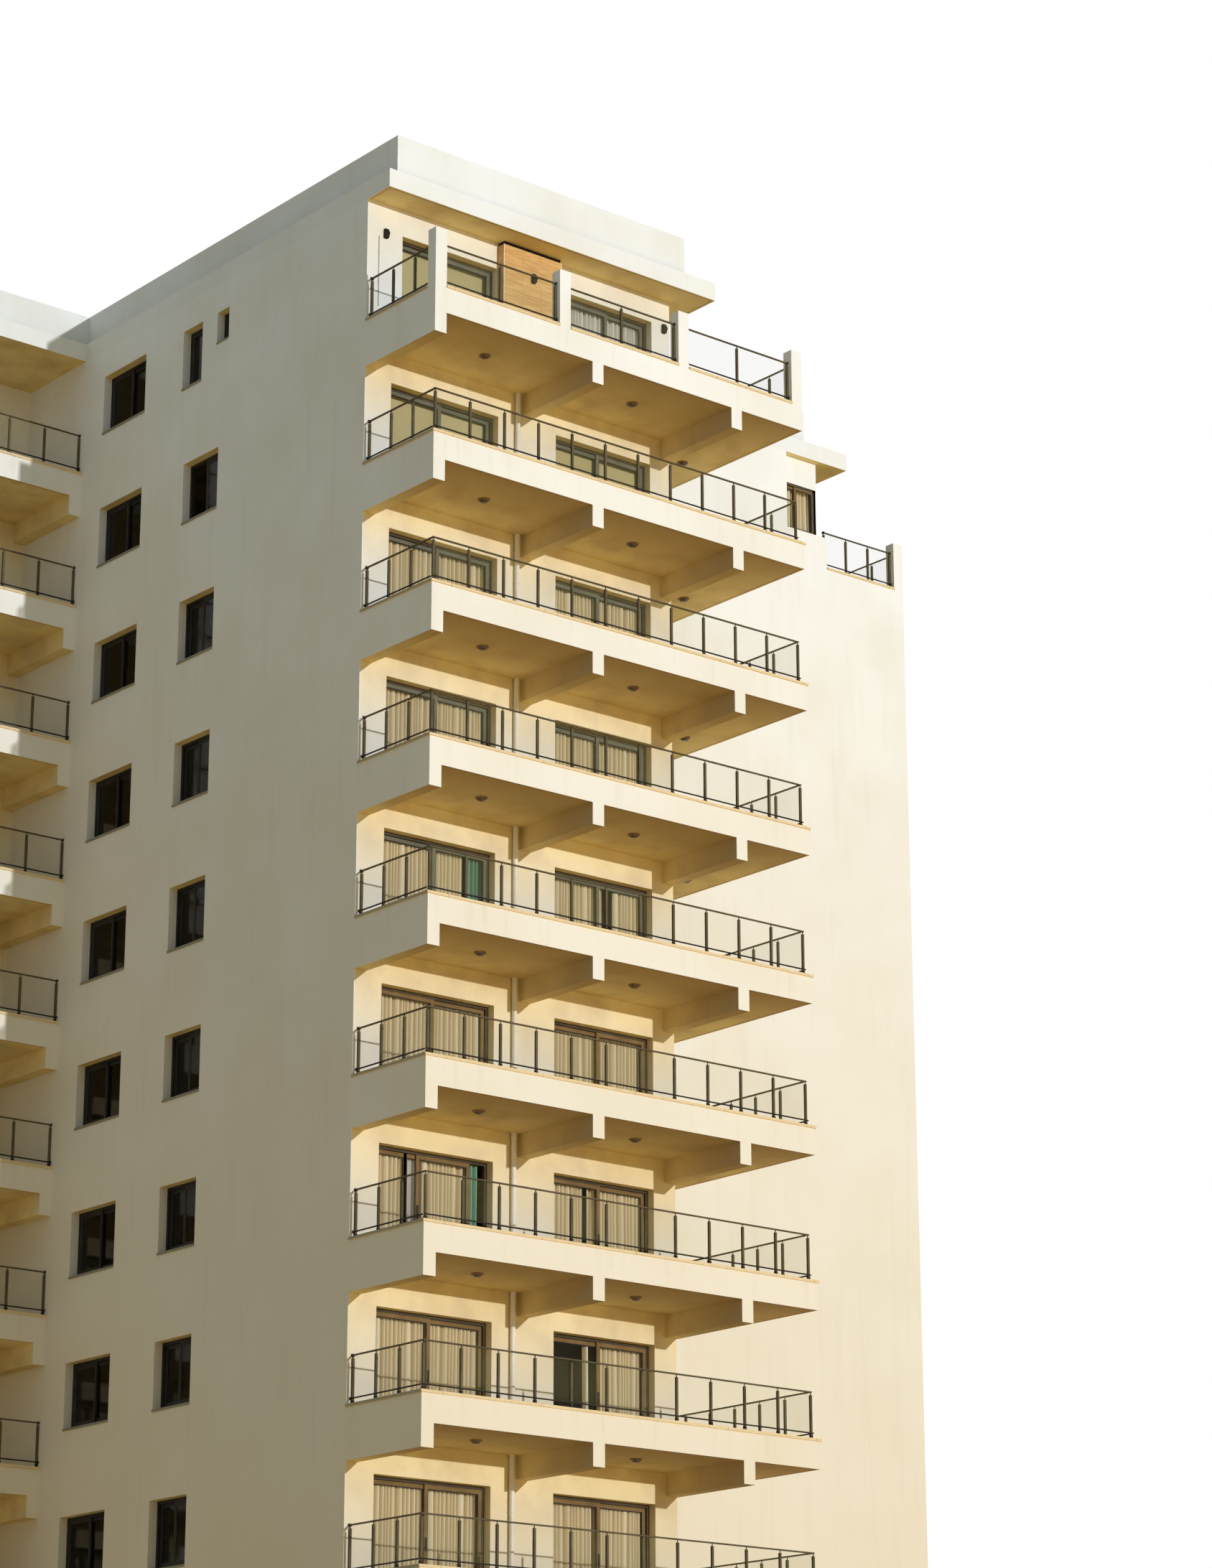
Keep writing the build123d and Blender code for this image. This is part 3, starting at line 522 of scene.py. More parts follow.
# %% Layout of one opening
reveal = 0.18
frame_bar, frame_deep = 0.06, 0.09
leaf_inset, leaf_deep, track_gap = 0.006, 0.035, 0.04
seal, seal_inset = 0.014, 0.008
pane_inset, pane_thick = 0.012, 0.01
overlap = 0.04
part_names = ("frames", "leaves", "seals", "panes")


def ring(start, end, bottom, top, bar, near, far):
    """Two uprights of full height, with a foot and a head between them."""
    return [
        (start, start + bar, bottom, top, near, far),
        (end - bar, end, bottom, top, near, far),
        (start + bar, end - bar, bottom, bottom + bar, near, far),
        (start + bar, end - bar, top - bar, top, near, far),
    ]


def glazed(start, end, bottom, top, leaves, bar):
    """The outer frame, the leaves with their seals and a pane in each; depths run into the wall."""
    made = {part: [] for part in part_names}
    made["frames"] = ring(start, end, bottom, top, frame_bar, 0.0, frame_deep)
    low, high = bottom + frame_bar, top - frame_bar
    for left, right, track in leaves:
        near = leaf_inset + track * track_gap
        far = near + leaf_deep
        made["leaves"] += ring(left, right, low, high, bar, near, far)
        inside = (left + bar, right - bar, low + bar, high - bar)
        made["seals"] += ring(*inside, seal, near + seal_inset, far - seal_inset)
        sight = (inside[0] + seal, inside[1] - seal, inside[2] + seal, inside[3] - seal)
        made["panes"].append((*sight, near + pane_inset, near + pane_inset + pane_thick))
    return made


def pair(start, end, outer):
    """Two leaves that overlap in the middle; outer is 0 where the left one is in front, or 1."""
    middle = (start + end) / 2
    left = (start + frame_bar, middle + overlap, outer)
    right = (middle - overlap, end - frame_bar, 1 - outer)
    return [left, right]


# %% [markdown]
# Turning such a row to its wall needs two things: whether the wall runs along
# X or along Y, and whether its inside lies on the plus or the minus side.

# %% Rows turned to their wall
into = {"front": 1, "left": 1, "rear": -1, "right": -1}
along_x = ("front", "rear")


def on_wall(rows, wall, face):
    """Start and end run along the wall, and the two depths run inwards from its face."""
    start, end, bottom, top, near, far = np.asarray(rows, float).reshape(-1, 6).T
    first, last = np.sort([face + into[wall] * near, face + into[wall] * far], 0)
    if wall in along_x:
        return np.stack([start, first, bottom, end, last, top], 1)
    return np.stack([first, start, bottom, last, end, top], 1)


# %% [markdown]
# The openings' sizes are distances along a wall and heights above a floor. A
# start and an end make a column of doors or windows, one on every storey.

# %% Sizes of the openings
door_columns = ((0.63, 3.26), (4.72, 7.18))
penthouse_doors = ((0.85, 3.22), (5.10, 7.24))
window_columns = ((5.00, 6.25), (7.80, 9.40))
rear_columns = ((-3.10, -1.50), (1.60, 3.20), (11.40, 13.00))
stair_column = (6.40, 8.20)
wing_door = (0.90, 3.50)
door_head, penthouse_head = 2.20, 2.38
sill, window_head = 1.02, 2.31
top_windows = (((5.70, 6.40), sill), ((4.74, 5.17), 1.61))
step_depth = 4.40
# From this storey up the door leaves get the painted grey green reflection.
painted_grey_from = 7
slid_storey = 5
slid_leaves = [(0.69, 1.43, 1), (1.36, 1.78, 1), (1.62, 2.86, 0)]
open_window = 10
print("doors are", door_head, "m high and those of the penthouse", penthouse_head, "m")

# %% [markdown]
# Now they are listed, storey by storey. On one storey the right leaf of the
# first door stands slid to the left, so part of that room is open, and one
# window of the left wall is slid open too; these two get their leaves one by one.

# %% The openings of each wall
openings = {"front": [], "upper_front": [], "left": [], "right": [], "rear": [], "wing": []}


def open_in(wall, origin, span, bottom, top, outer):
    """Adds an opening whose span is measured from the origin of that wall."""
    start, end = origin + span[0], origin + span[1]
    openings[wall].append((start, end, bottom, top, pair(start, end, outer)))


for level, floor in enumerate(floors):
    is_top = level == storeys - 1
    head = penthouse_head if is_top else door_head
    window = (floor + sill, floor + window_head)
    for column, span in enumerate(penthouse_doors if is_top else door_columns):
        wall = "upper_front" if level >= painted_grey_from else "front"
        open_in(wall, left_face, span, floor, floor + head, (level + column) % 2)
    if is_top:
        for span, foot in top_windows:
            start, end = front_face + span[0], front_face + span[1]
            leaf = [(start + frame_bar, end - frame_bar, 0)]
            openings["left"].append((start, end, floor + foot, window[1], leaf))
    else:
        open_in("left", front_face, window_columns[0], *window, 0)
        for span in window_columns:
            open_in("right", front_face + step_depth, span, *window, 0)
    open_in("left", front_face, window_columns[1], *window, 1)
    for span in (*rear_columns, stair_column):
        is_entrance = span == stair_column and level == 0
        open_in("rear", left_face, span, floor if is_entrance else window[0], window[1], 1)
    open_in("wing", wing_left, wing_door, floor, floor + door_head, level % 2)

*hole, leaves = openings["front"][2 * slid_storey]
moved = [(left_face + a, left_face + b, track) for a, b, track in slid_leaves]
openings["front"][2 * slid_storey] = (*hole, moved)
*hole, leaves = openings["left"][2 * open_window]
behind = [(*leaves[0][:2], track) for track in (0, 1)]
openings["left"][2 * open_window] = (*hole, behind)
slot_start, slot_end, slot_foot = openings["left"][-2][:3]
print("openings:", {wall: len(rows) for wall, rows in openings.items()})

# %% [markdown]
# The corner of the penthouse is glazed on two sides: a window over the apron
# and a door to the terrace, joined by a post. Both stand 10 mm inside the
# faces of their lintels.

# %% The glazed corner
apron_low, apron_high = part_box("corner_apron")
lintel_low, lintel_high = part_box("corner_lintel")
side_lintel_low, side_lintel_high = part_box("terrace_door_lintel")
side_face = side_lintel_high.x
set_back, post_side = 0.01, 0.09
corner_x, corner_y = side_face - set_back, lintel_low.y + set_back
corner_window = (apron_low.x, corner_x, apron_high.z, lintel_low.z)
terrace_door = (apron_high.y, side_lintel_high.y, penthouse, side_lintel_low.z)
narrow_leaf, lap = 0.42, 0.03
meeting = corner_window[0] + narrow_leaf
corner_leaves = [
    (corner_window[0] + frame_bar, meeting + lap, 1),
    (meeting - lap, corner_window[1] - frame_bar, 0),
]
corner_post = (corner_x - post_side, corner_y, apron_high.z, corner_x, corner_y + post_side, lintel_low.z)
print("corner window is", round(corner_window[1] - corner_window[0], 2), "m wide")

# %% [markdown]
# Each kind of part becomes one piece for a whole wall. The table says how a
# wall runs, where its face is and what its frames, leaves and panes are made
# of. Doors have wider stiles than windows.

# %% Doors and windows of every wall
door_stile, window_stile = 0.075, 0.055
door_walls = ("front", "upper_front", "wing")
window_coats = (dark_bronze, dark_bronze, solar_glass)
wall_faces = {
    "front": ("front", front_face, umber, bronze, pane_glass),
    # Upper storeys: bronze leaves with a painted grey green reflection.
    "upper_front": ("front", front_face, umber, bronze_painted_grey, pane_glass),
    "left": ("left", left_face, *window_coats),
    "right": ("right", right_face, *window_coats),
    "rear": ("rear", rear_face, *window_coats),
    "wing": ("front", wing_face, umber, bronze, pane_glass),
}


def look(part, outer, coat, glass):
    """The material and a slot name of one kind of door part."""
    if part == "seals":
        return rubber, None
    if part == "panes":
        return glass, "railing_glass"
    return (outer if part == "frames" else coat), "railing"


for name, (wall, face, *coats) in wall_faces.items():
    stile = door_stile if name in door_walls else window_stile
    made = {part: [] for part in part_names}
    for opening in openings[name]:
        for part, rows in glazed(*opening, stile).items():
            made[part] += rows
    for part, rows in made.items():
        placed = on_wall(rows, wall, face + into[wall] * reveal)
        piece(f"{name}_{part}", *boxes(placed), *look(part, *coats))

corner_parts = glazed(*corner_window, corner_leaves, window_stile)
door_parts = glazed(*terrace_door, pair(*terrace_door[:2], 0), door_stile)
for part in part_names:
    rows = [on_wall(corner_parts[part], "front", corner_y), on_wall(door_parts[part], "right", corner_x)]
    if part == "frames":
        rows.append(corner_post)
    piece(f"corner_{part}", *boxes(np.vstack(rows)), *look(part, umber, bronze, pane_glass))

# %% [markdown]
# The smallest window, a slot high in the penthouse wall, has a thin sill of
# its own: a slab of the same weathered stone, laid on the foot of the opening.

# %% Slot sill
sill_out, sill_thick = 0.025, 0.02
slab = (left_face - sill_out, slot_start, slot_foot, left_face + reveal, slot_end, slot_foot + sill_thick)
piece("slot_sill", *boxes(slab), sill_stone, "coping_stone")

# %% [markdown]
# Each outer leaf has a recessed pull: a slim upright bar on the stile where
# it meets the frame or the other leaf, at hand height. It is small, but it
# catches light in a close view and tells the eye how tall a door is.

# %% Door pulls
pull_inset, pull_wide = 0.02, 0.03
pull_foot, pull_head = 0.95, 1.2
pull_near, pull_far = -0.016, 0.008
by_the_jamb = 0.1
pulls = []
for start, end, bottom, top, leaves in openings["front"] + openings["upper_front"]:
    for left, right, track in leaves:
        if track == 0:
            is_left = left < start + by_the_jamb
            edge = right - pull_inset - pull_wide if is_left else left + pull_inset
            upright = (edge, edge + pull_wide, bottom + pull_foot, bottom + pull_head)
            pulls.append((*upright, pull_near, pull_far))
piece("door_pulls", *boxes(on_wall(pulls, "front", front_face + reveal)), black_coat, "railing")

# %% [markdown]
# Curtains hang from a track that is screwed to the wall over each opening. A
# gathered curtain is cut wider than it hangs: here 1.6 times, and gauze 1.8
# times. The extra width goes into folds, so the depth of a fold isn't free.
# A fold of half depth a, whose wave climbs with a slope s for each metre of
# depth, uses up the mean of the root of 1 + (a s)^2, and the right a is read
# off that curve. Tailors don't space folds evenly, so the wave speeds up and
# slows down along the track.

# %% How deep a fold must be
fold_pitch = 0.1
deepest, tries = 0.08, 400
fullness = {"cream": 1.6, "gauze": 1.8, "green": 1.6, "blind": 1.0}


def half_depth(full, slope):
    """The half depth at which folds of this slope use up full times their width in cloth."""
    tried = np.linspace(0, deepest, tries)
    used = np.sqrt(1 + (tried[:, None] * slope) ** 2).mean(1)
    return float(np.interp(full, used, tried))


phase = np.linspace(0, 2 * math.pi, 200, endpoint=False)
for cloth, full in fullness.items():
    deep = 2 * half_depth(full, 2 * math.pi / fold_pitch * np.cos(phase))
    print(cloth, "folds are about", round(1000 * deep), "mm deep")


# %% [markdown]
# Each curtain is a grid: one parameter runs along the track and the other down
# the drop. The folds lean a little and wander from top to hem, since cloth
# never hangs quite plumb, and a blind is the same grid without folds.


# %% Hang one curtain
rng = np.random.default_rng(11)
drop_rows, fold_points, plain_columns = 6, 12, 5
slow_rate, quick_rate, lean_rate = 9, 17, 7
slow_swing, quick_swing, lean_swing = 2.0, 1.4, 0.9
shift = 6


def hung(span, top, drop, full):
    """Along = span; depth = a sin(phase), the phase wandering with the drop; height = top - v drop.
    The cut map is (full * width * u, drop * v), and the fold's own depth is (1 + sin(phase)) / 2."""
    start, end = span
    width = end - start
    folded = full > 1
    columns = round(width / fold_pitch * fold_points) + 1 if folded else plain_columns
    u, v = np.meshgrid(np.linspace(0, 1, columns), np.linspace(0, 1, drop_rows))
    slow = slow_swing * np.sin(slow_rate * width * u + shift * rng.random())
    quick = quick_swing * np.sin(quick_rate * width * u + shift * rng.random())
    lean = lean_swing * v * np.sin(lean_rate * u + shift * rng.random())
    phase = 2 * math.pi * width / fold_pitch * u + (slow + quick) + lean + shift * rng.random()
    wave = np.sin(phase)
    slope = np.gradient(wave[0], width / (columns - 1))
    deep = half_depth(full, slope) if folded else 0.0
    points = np.stack([start + width * u, deep * wave, top - drop * v], -1)
    cut = np.stack([full * width * u, drop * v], -1)
    row, column = np.meshgrid(np.arange(drop_rows - 1), np.arange(columns - 1), indexing="ij")
    first = (row * columns + column).ravel()
    faces = np.stack([first, first + columns, first + columns + 1, first + 1], 1)
    return points.reshape(-1, 3), faces, cut.reshape(-1, 2), (1 + wave).ravel() / 2


# %% [markdown]
# Curtains of one cloth that hang near each other become one piece, on the
# room's side of the wall. The UV map and the depth of the folds go with it,
# and the UV map counts the cloth at the size that it was cut to.


# %% Hang a row of curtains
hang_gap, cloth_crease = 0.055, 80


def curtains(name, cloth, spans, wall, face, top_of, drop, track):
    """Sheets of one drop and one cloth, with a UV map at their cut size; the track argument is not used.
    """
    sheets = [hung(span, floor + top_of, drop, fullness[cloth]) for span, floor in spans]
    points, quads, cuts, backs = zip(*sheets)
    firsts = np.cumsum([0, *map(len, points[:-1])])
    faces = np.vstack([quad + first for quad, first in zip(quads, firsts)])
    along, depth, height = np.vstack(points).T
    depth = face + into[wall] * (wall_thick + hang_gap + depth)
    placed = (along, depth, height) if wall in along_x else (depth, along, height)
    made = piece(name, np.stack(placed, 1), faces, cloths[cloth], crease=cloth_crease)
    cut = np.vstack(cuts)[faces.ravel()]
    made.data.uv_layers.new(name="cut").data.foreach_set("uv", cut.ravel())
    # The depth attribute carries the painted shade of the folds.
    folds = made.data.attributes.new("depth", "FLOAT", "POINT")
    folds.data.foreach_set("value", np.hstack(backs) ** 2)


# %% [markdown]
# What hangs behind each door follows the photograph: plain blinds on the two
# highest storeys, gauze in the right door of the penthouse, a green curtain at
# one edge of two doors, and cream cotton elsewhere. The lowest storeys, which
# aren't seen, repeat the cream ones. Hooks are heights above the storey's floor.

# %% Curtains of the street front
hangings = {level: [("cream", span) for span in door_columns] for level in range(storeys - 1)}
hangings[11] = [("blind", penthouse_doors[0]), ("gauze", penthouse_doors[1])]
hangings[10] = [("blind", span) for span in door_columns]
hangings[7] = [("cream", (0.66, 2.72)), ("green", (2.78, 3.16))]
hangings[7] += [("cream", (4.75, 6.15)), ("cream", (6.42, 7.14))]
hangings[5] = [("cream", (0.66, 1.40)), ("gauze", (1.45, 1.66)), ("cream", (1.70, 2.86))]
hangings[5] += [("green", (2.95, 3.10)), ("cream", (4.75, 5.62)), ("cream", (5.74, 7.14))]
hangings[4] = [("cream", door_columns[0]), ("cream", (5.68, 5.80)), ("cream", (6.00, 7.12))]
hooks = [2.26] * (storeys - 1) + [2.42]
hem_gap, jamb_gap = 0.03, 0.02
track_over, track_tall, track_deep = 0.08, 0.04, 0.09


def track_row(start, end, foot, tall):
    """A curtain track as a flat row, on the room's side of a wall."""
    return start, end, foot, foot + tall, wall_thick, wall_thick + track_deep


tracks = []
for level, floor in enumerate(floors):
    for start, end in penthouse_doors if level == storeys - 1 else door_columns:
        ends = (left_face + start - track_over, left_face + end + track_over)
        tracks.append(track_row(*ends, floor + hooks[level], track_tall))
piece("curtain_tracks", *boxes(on_wall(tracks, "front", front_face)), conduit_grey)
for level, floor in enumerate(floors):
    for cloth in fullness:
        spans = [(left_face + a, left_face + b) for kind, (a, b) in hangings[level] if kind == cloth]
        if spans:
            place = ([(span, floor) for span in spans], "front", front_face)
            drop = hooks[level] - hem_gap
            curtains(f"{cloth}_{level:02d}", cloth, *place, hooks[level], drop, "curtain_tracks")

# %% [markdown]
# The windows of the right and rear walls get curtains drawn to their sides, so
# that the dark rooms show between them. The wing's doors are curtained like
# the front's. The entrance, whose foot is on the floor, has none.

# %% Curtains of the right, rear and wing walls
hook_above, small_over, small_tall = 0.06, 0.05, 0.03
drawn_wide, window_drop = 0.24, 1.42
upper_half = floors[storeys // 2]
for name in ("right", "rear", "wing"):
    wall, face = wall_faces[name][:2]
    is_wing = name == "wing"
    hook = (door_head if is_wing else window_head) + hook_above
    drop = door_head + hem_gap if is_wing else window_drop
    halves, rows = {0: [], 1: []}, []
    for start, end, bottom, top, leaves in openings[name]:
        floor = floors[int((bottom - ground_floor + near_level) // storey_height)]
        rows.append(track_row(start - small_over, end + small_over, floor + hook, small_tall))
        half = halves[int(floor >= upper_half)]
        if is_wing:
            half.append(((start + jamb_gap, end - jamb_gap), floor))
        elif bottom > floor + near_level:
            half += [((start, start + drawn_wide), floor), ((end - drawn_wide, end), floor)]
    piece(f"{name}_tracks", *boxes(on_wall(rows, wall, face)), conduit_grey)
    for half, spans in halves.items():
        curtains(f"{name}_curtains_{half}", "cream", spans, wall, face, hook, drop, f"{name}_tracks")

# %% [markdown]
# On the left wall only one curtain shows: a narrow one in the middle of the
# open window. The tracks of the glazed corner are fixed under its lintels, so
# its curtains hang close to the glass.

# %% Curtains of the open window and of the corner
start, end, bottom, top, leaves = openings["left"][2 * open_window]
rail = track_row(start - small_over, end + small_over, top + hook_above, small_tall)
piece("left_track", *boxes(on_wall(rail, "left", left_face)), conduit_grey)
strip_from, strip_to = 0.60, 0.76
strip = ((start + strip_from, start + strip_to), floors[open_window])
place = ([strip], "left", left_face)
curtains("left_curtain", "gauze", *place, window_head + hook_above, window_drop, "left_track")

nearer, post_gap, terrace_gap, hem_over_apron = 0.14, 0.11, 0.05, 0.02
front_hung, side_hung = lintel_low.y - nearer, side_face + nearer
hook = corner_window[3] - penthouse - small_tall
front_rail = track_row(corner_window[0], side_face - post_gap, penthouse + hook, small_tall)
side_rail = track_row(lintel_high.y, terrace_door[1], penthouse + hook, small_tall)
rails = [on_wall(front_rail, "front", front_hung), on_wall(side_rail, "right", side_hung)]
piece("corner_tracks", *boxes(np.vstack(rails)), conduit_grey)
drawn = ((corner_window[0] + jamb_gap, side_face - 0.12), penthouse)
drop = hook - (corner_window[2] - penthouse) - hem_over_apron
curtains("corner_curtain", "cream", [drawn], "front", front_hung, hook, drop, "corner_tracks")
drawn = ((lintel_high.y, terrace_door[1] - terrace_gap), penthouse)
curtains("terrace_curtain", "cream", [drawn], "right", side_hung, hook, hook - hem_gap, "corner_tracks")

# %% [markdown]
# A lamp or a pipe is turned: a profile of radius and height is carried round
# an axis. Where the profile starts or ends on the axis, all points of that
# ring are one, so doubled points are merged and flat faces are dropped.


# %% Turned shapes
def turned(profile, sides):
    """Point (r, z) at angle a lies at (r cos a, r sin a, z); doubled points become one."""
    radius, height = np.asarray(profile, float).T[:, :, None]
    angle = np.linspace(0, 2 * math.pi, sides, endpoint=False)
    grid = np.stack(np.broadcast_arrays(radius * np.cos(angle), radius * np.sin(angle), height), -1)
    points, same = np.unique(grid.reshape(-1, 3).round(6), axis=0, return_inverse=True)
    row, column = np.meshgrid(np.arange(len(profile) - 1), np.arange(sides), indexing="ij")
    a, b = row * sides + column, row * sides + (column + 1) % sides
    quads = same.reshape(-1)[np.stack([a, b, b + sides, a + sides], -1).reshape(-1, 4)]
    triangles = np.vstack([quads[:, [0, 1, 2]], quads[:, [0, 2, 3]]])
    first, second, third = triangles.T
    kept = (first != second) & (second != third) & (third != first)
    return points, triangles[kept]


def repeated(points, faces, places):
    """The same shape at every place: points are shifted and faces are renumbered."""
    places = np.asarray(places, float)
    moved = points + places[:, None]
    numbered = faces + len(points) * np.arange(len(places))[:, None, None]
    return moved.reshape(-1, 3), numbered.reshape(-1, faces.shape[1])


def collar(thin, thick, foot, tall, ramp):
    """Part of a profile: out to a thicker ring over a short ramp, up, and in again."""
    return [(thin, foot), (thick, foot + ramp), (thick, foot + tall - ramp), (thin, foot + tall)]


# %% [markdown]
# The rain pipe comes down beside the first door of each storey. Every length
# ends in a sleeve at the slab, and two thin ring clamps hold it to the wall.

# %% Rain pipe
pipe_low, pipe_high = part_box("downpipes")
pipe_radius = (pipe_high.x - pipe_low.x) / 2
pipe_centre = (pipe_low.x + pipe_radius, pipe_low.y + pipe_radius)
clear_height = storey_height - slab_thick
body = pipe_radius - 0.006
low_sleeve, high_sleeve, sleeve_ramp = 0.12, 0.13, 0.01
clamp_tall, clamp_ramp = 0.03, 0.003
profile = [(0, 0), (pipe_radius, 0), (pipe_radius, low_sleeve), (body, low_sleeve + sleeve_ramp)]
for height in (1.75, 1.96):
    profile += collar(body, pipe_radius, height, clamp_tall, clamp_ramp)
top = clear_height - high_sleeve
profile += [(body, top - sleeve_ramp), (pipe_radius, top), (pipe_radius, clear_height), (0, clear_height)]
places = [(*pipe_centre, floor) for floor in floors[:-1]]
shape = repeated(*turned(profile, pipe_sides), places)
rain_pipe = piece("rain_pipe", *shape, pipe_coat, "pipe", hard_crease)
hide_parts("downpipes")

# %% [markdown]
# Under every balcony are two round lamps, and a third round the corner: a
# bronze ring on the ceiling, and a smaller drum of smoked glass below it.

# %% Ceiling lamps
lamp_spots = ((2.06, -1.11), (5.785, -1.11), (8.58, 0.61))
ceilings = floors[1:] - slab_thick
places = [(left_face + x, front_face + y, ceiling) for ceiling in ceilings for x, y in lamp_spots]
ring_profile = [(0, -0.028), (0.09, -0.03), (0.108, -0.026), (0.115, -0.012), (0.115, 0), (0, 0)]
drum_profile = [(0, -0.07), (0.05, -0.068), (0.072, -0.056), (0.08, -0.028), (0, -0.028)]
rings = repeated(*turned(ring_profile, lamp_sides), places)
drums = repeated(*turned(drum_profile, lamp_sides), places)
lamp_rings = piece("lamp_rings", *rings, lamp_bronze, "lamp_bronze", hard_crease)
piece("lamp_drums", *drums, lamp_drum, "lamp_bronze", hard_crease)
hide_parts("ceiling_lamps")

# %% [markdown]
# The penthouse's wall lamps are black wedges that shine up and down. From the
# side one is a five-sided outline, flat against the wall and pointed in front.

# %% Wall lamps
lamp_low, lamp_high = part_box("wall_lamps")
lamp_tall, half_wide = 0.2, 0.04
lamp_foot = (lamp_low.z + lamp_high.z - lamp_tall) / 2
outline = np.array([(0, 0), (-0.07, 0.04), (-0.11, 0.5), (-0.06, 0.98), (0, 1)]) * (1, lamp_tall)
wedge = np.array([(x, y, z) for x in (-half_wide, half_wide) for y, z in outline])
count = len(outline)
corner = np.arange(count)
after = (corner + 1) % count
upper = np.stack([corner, count + after, after], 1)
lower = np.stack([corner, count + corner, count + after], 1)
ends = [(0, 3, 4), (0, 2, 3), (0, 1, 2), (5, 9, 8), (5, 8, 7), (5, 7, 6)]
skin = np.vstack([upper, lower, ends])
spots = ((0.43, 0.0), (7.55, 0.0), (3.96, -0.2))
places = [(left_face + x, front_face + y, lamp_foot) for x, y in spots]
wall_lamps = piece("wedge_lamps", *repeated(wedge, skin, places), lamp_black, "lamp_black")
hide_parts("wall_lamps")

# %% [markdown]
# Boards are laid level, and every second row starts half a board further on.
# The gap between boards is 3 mm and shows as a fine line, because a black core,
# a painted shadow, stands behind them; at the top, where the boards end short
# of the roof, it shows as a black band of painted shadow. A pale strip trims
# the two front corners. Each board keeps a random tone for the oak.

# %% Boards
clad_low, clad_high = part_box("timber_cladding")
board_gap, board_thick, board_length = 0.003, 0.022, 0.95
board_rows = 15
band, hair = 0.07, 0.002
row_height = (clad_high.z - band - clad_low.z) / board_rows
boards = []
for row in range(board_rows):
    foot = clad_low.z + row * row_height
    top = foot + row_height - board_gap
    start = clad_low.x - (row % 2) * board_length / 2
    for near in np.arange(start, clad_high.x, board_length):
        low, high = max(near, clad_low.x), min(near + board_length - board_gap, clad_high.x)
        boards.append((low, clad_low.y, foot, high, clad_low.y + board_thick, top))
    for low in (clad_low.x, clad_high.x - board_thick):
        behind = clad_low.y + board_thick + hair
        boards.append((low, behind, foot, low + board_thick, clad_high.y, top))
oak_boards = piece("oak_boards", *boxes(boards), oak, "timber")
tone = oak_boards.data.attributes.new("tone", "FLOAT", "FACE")
tone.data.foreach_set("value", np.repeat(rng.random(len(boards)), len(cube_faces)))
inset, trim = 0.018, 0.012
# The core is a black box of painted shadow behind the boards.
core = (clad_low.x + inset, clad_low.y + inset, clad_low.z, clad_high.x - inset, clad_high.y, clad_high.z)
piece("cladding_shadow_core", *boxes(core), shadow_black)
trims = [
    (x, clad_low.y - hair, clad_low.z, x + trim, clad_low.y + trim, clad_high.z - band)
    for x in (clad_low.x - hair, clad_high.x + hair - trim)
]
piece("corner_trims", *boxes(trims), pipe_coat, "timber")
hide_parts("timber_cladding")

# %% [markdown]
# The railing's posts stop 45 mm below the top rail, which stands on a slim pin
# in each of them. The solids have plain posts that reach the rail, so these
# are replaced by a shorter shaft, its pin and a black shoe at the foot. The
# plain posts are boxes of 12 triangles, so their corners can be read from the
# mesh, 36 points at a time.

# %% Posts, pins and shoes of the railing
points_per_box = 36


def boxes_of(name):
    """Low and high corners of each box in a node: lowest and highest of its triangles' points."""
    mesh = nodes[name].data
    corners = np.empty(len(mesh.vertices) * 3)
    mesh.vertices.foreach_get("co", corners)
    ordered = np.empty(len(mesh.loops), int)
    mesh.loops.foreach_get("vertex_index", ordered)
    grouped = corners.reshape(-1, 3)[ordered].reshape(-1, points_per_box, 3)
    return grouped.min(1), grouped.max(1)


pin_rise, pin_radius = 0.045, 0.009
shoe_reach, shoe_rise = 0.004, 0.075
low, high = (np.vstack(ends) for ends in zip(boxes_of("front_posts"), boxes_of("side_posts")))
shafts = np.hstack([low, high - (0, 0, pin_rise)])
railing_posts = piece("railing_posts", *boxes(shafts), anthracite, "railing")
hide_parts("front_posts", "side_posts")
heads = (low + high) / 2
heads[:, 2] = high[:, 2] - pin_rise
pin = turned([(0, 0), (pin_radius, 0), (pin_radius, pin_rise), (0, pin_rise)], pin_sides)
piece("post_pins", *repeated(*pin, heads), black_coat, "railing")
shoes = np.hstack([low - (shoe_reach, shoe_reach, 0), high + (shoe_reach, shoe_reach, 0)])
shoes[:, 5] = low[:, 2] + shoe_rise
piece("post_shoes", *boxes(shoes), black_coat, "railing")

# %% [markdown]
# A rail is drawn from a die, so its long edges are never sharp: its section is
# a rectangle with the corners planed off, and eight faces catch the light one
# after another.

# %% Bars with eased edges
edges = 8


def bars(low, high, axis, ease):
    """Section point = side * size + shift * ease, carried from the low end to the high end of a bar."""
    side = np.array([(0, 0), (1, 0), (1, 0), (1, 1), (1, 1), (0, 1), (0, 1), (0, 0)])
    shift = np.array([(1, 0), (-1, 0), (0, 1), (0, -1), (-1, 0), (1, 0), (0, -1), (0, 1)])
    across = [1 - axis, 2]
    points = np.repeat(low[:, None, None], 2, 1).repeat(edges, 2)
    points[:, 1, :, axis] = high[:, None, axis]
    points[..., across] += (side * (high - low)[:, None, across] + shift * ease)[:, None]
    row = np.arange(edges)
    after = (row + 1) % edges
    caps = np.array([(3, 2, 1, 0), (7, 4, 3, 0), (7, 6, 5, 4)])
    skin = np.stack([row, after, edges + after, edges + row], 1)
    faces = np.vstack([skin, caps, caps[:, ::-1] + edges])
    faces = faces if axis == 0 else faces[:, ::-1]
    return points.reshape(-1, 3), faces, len(low)


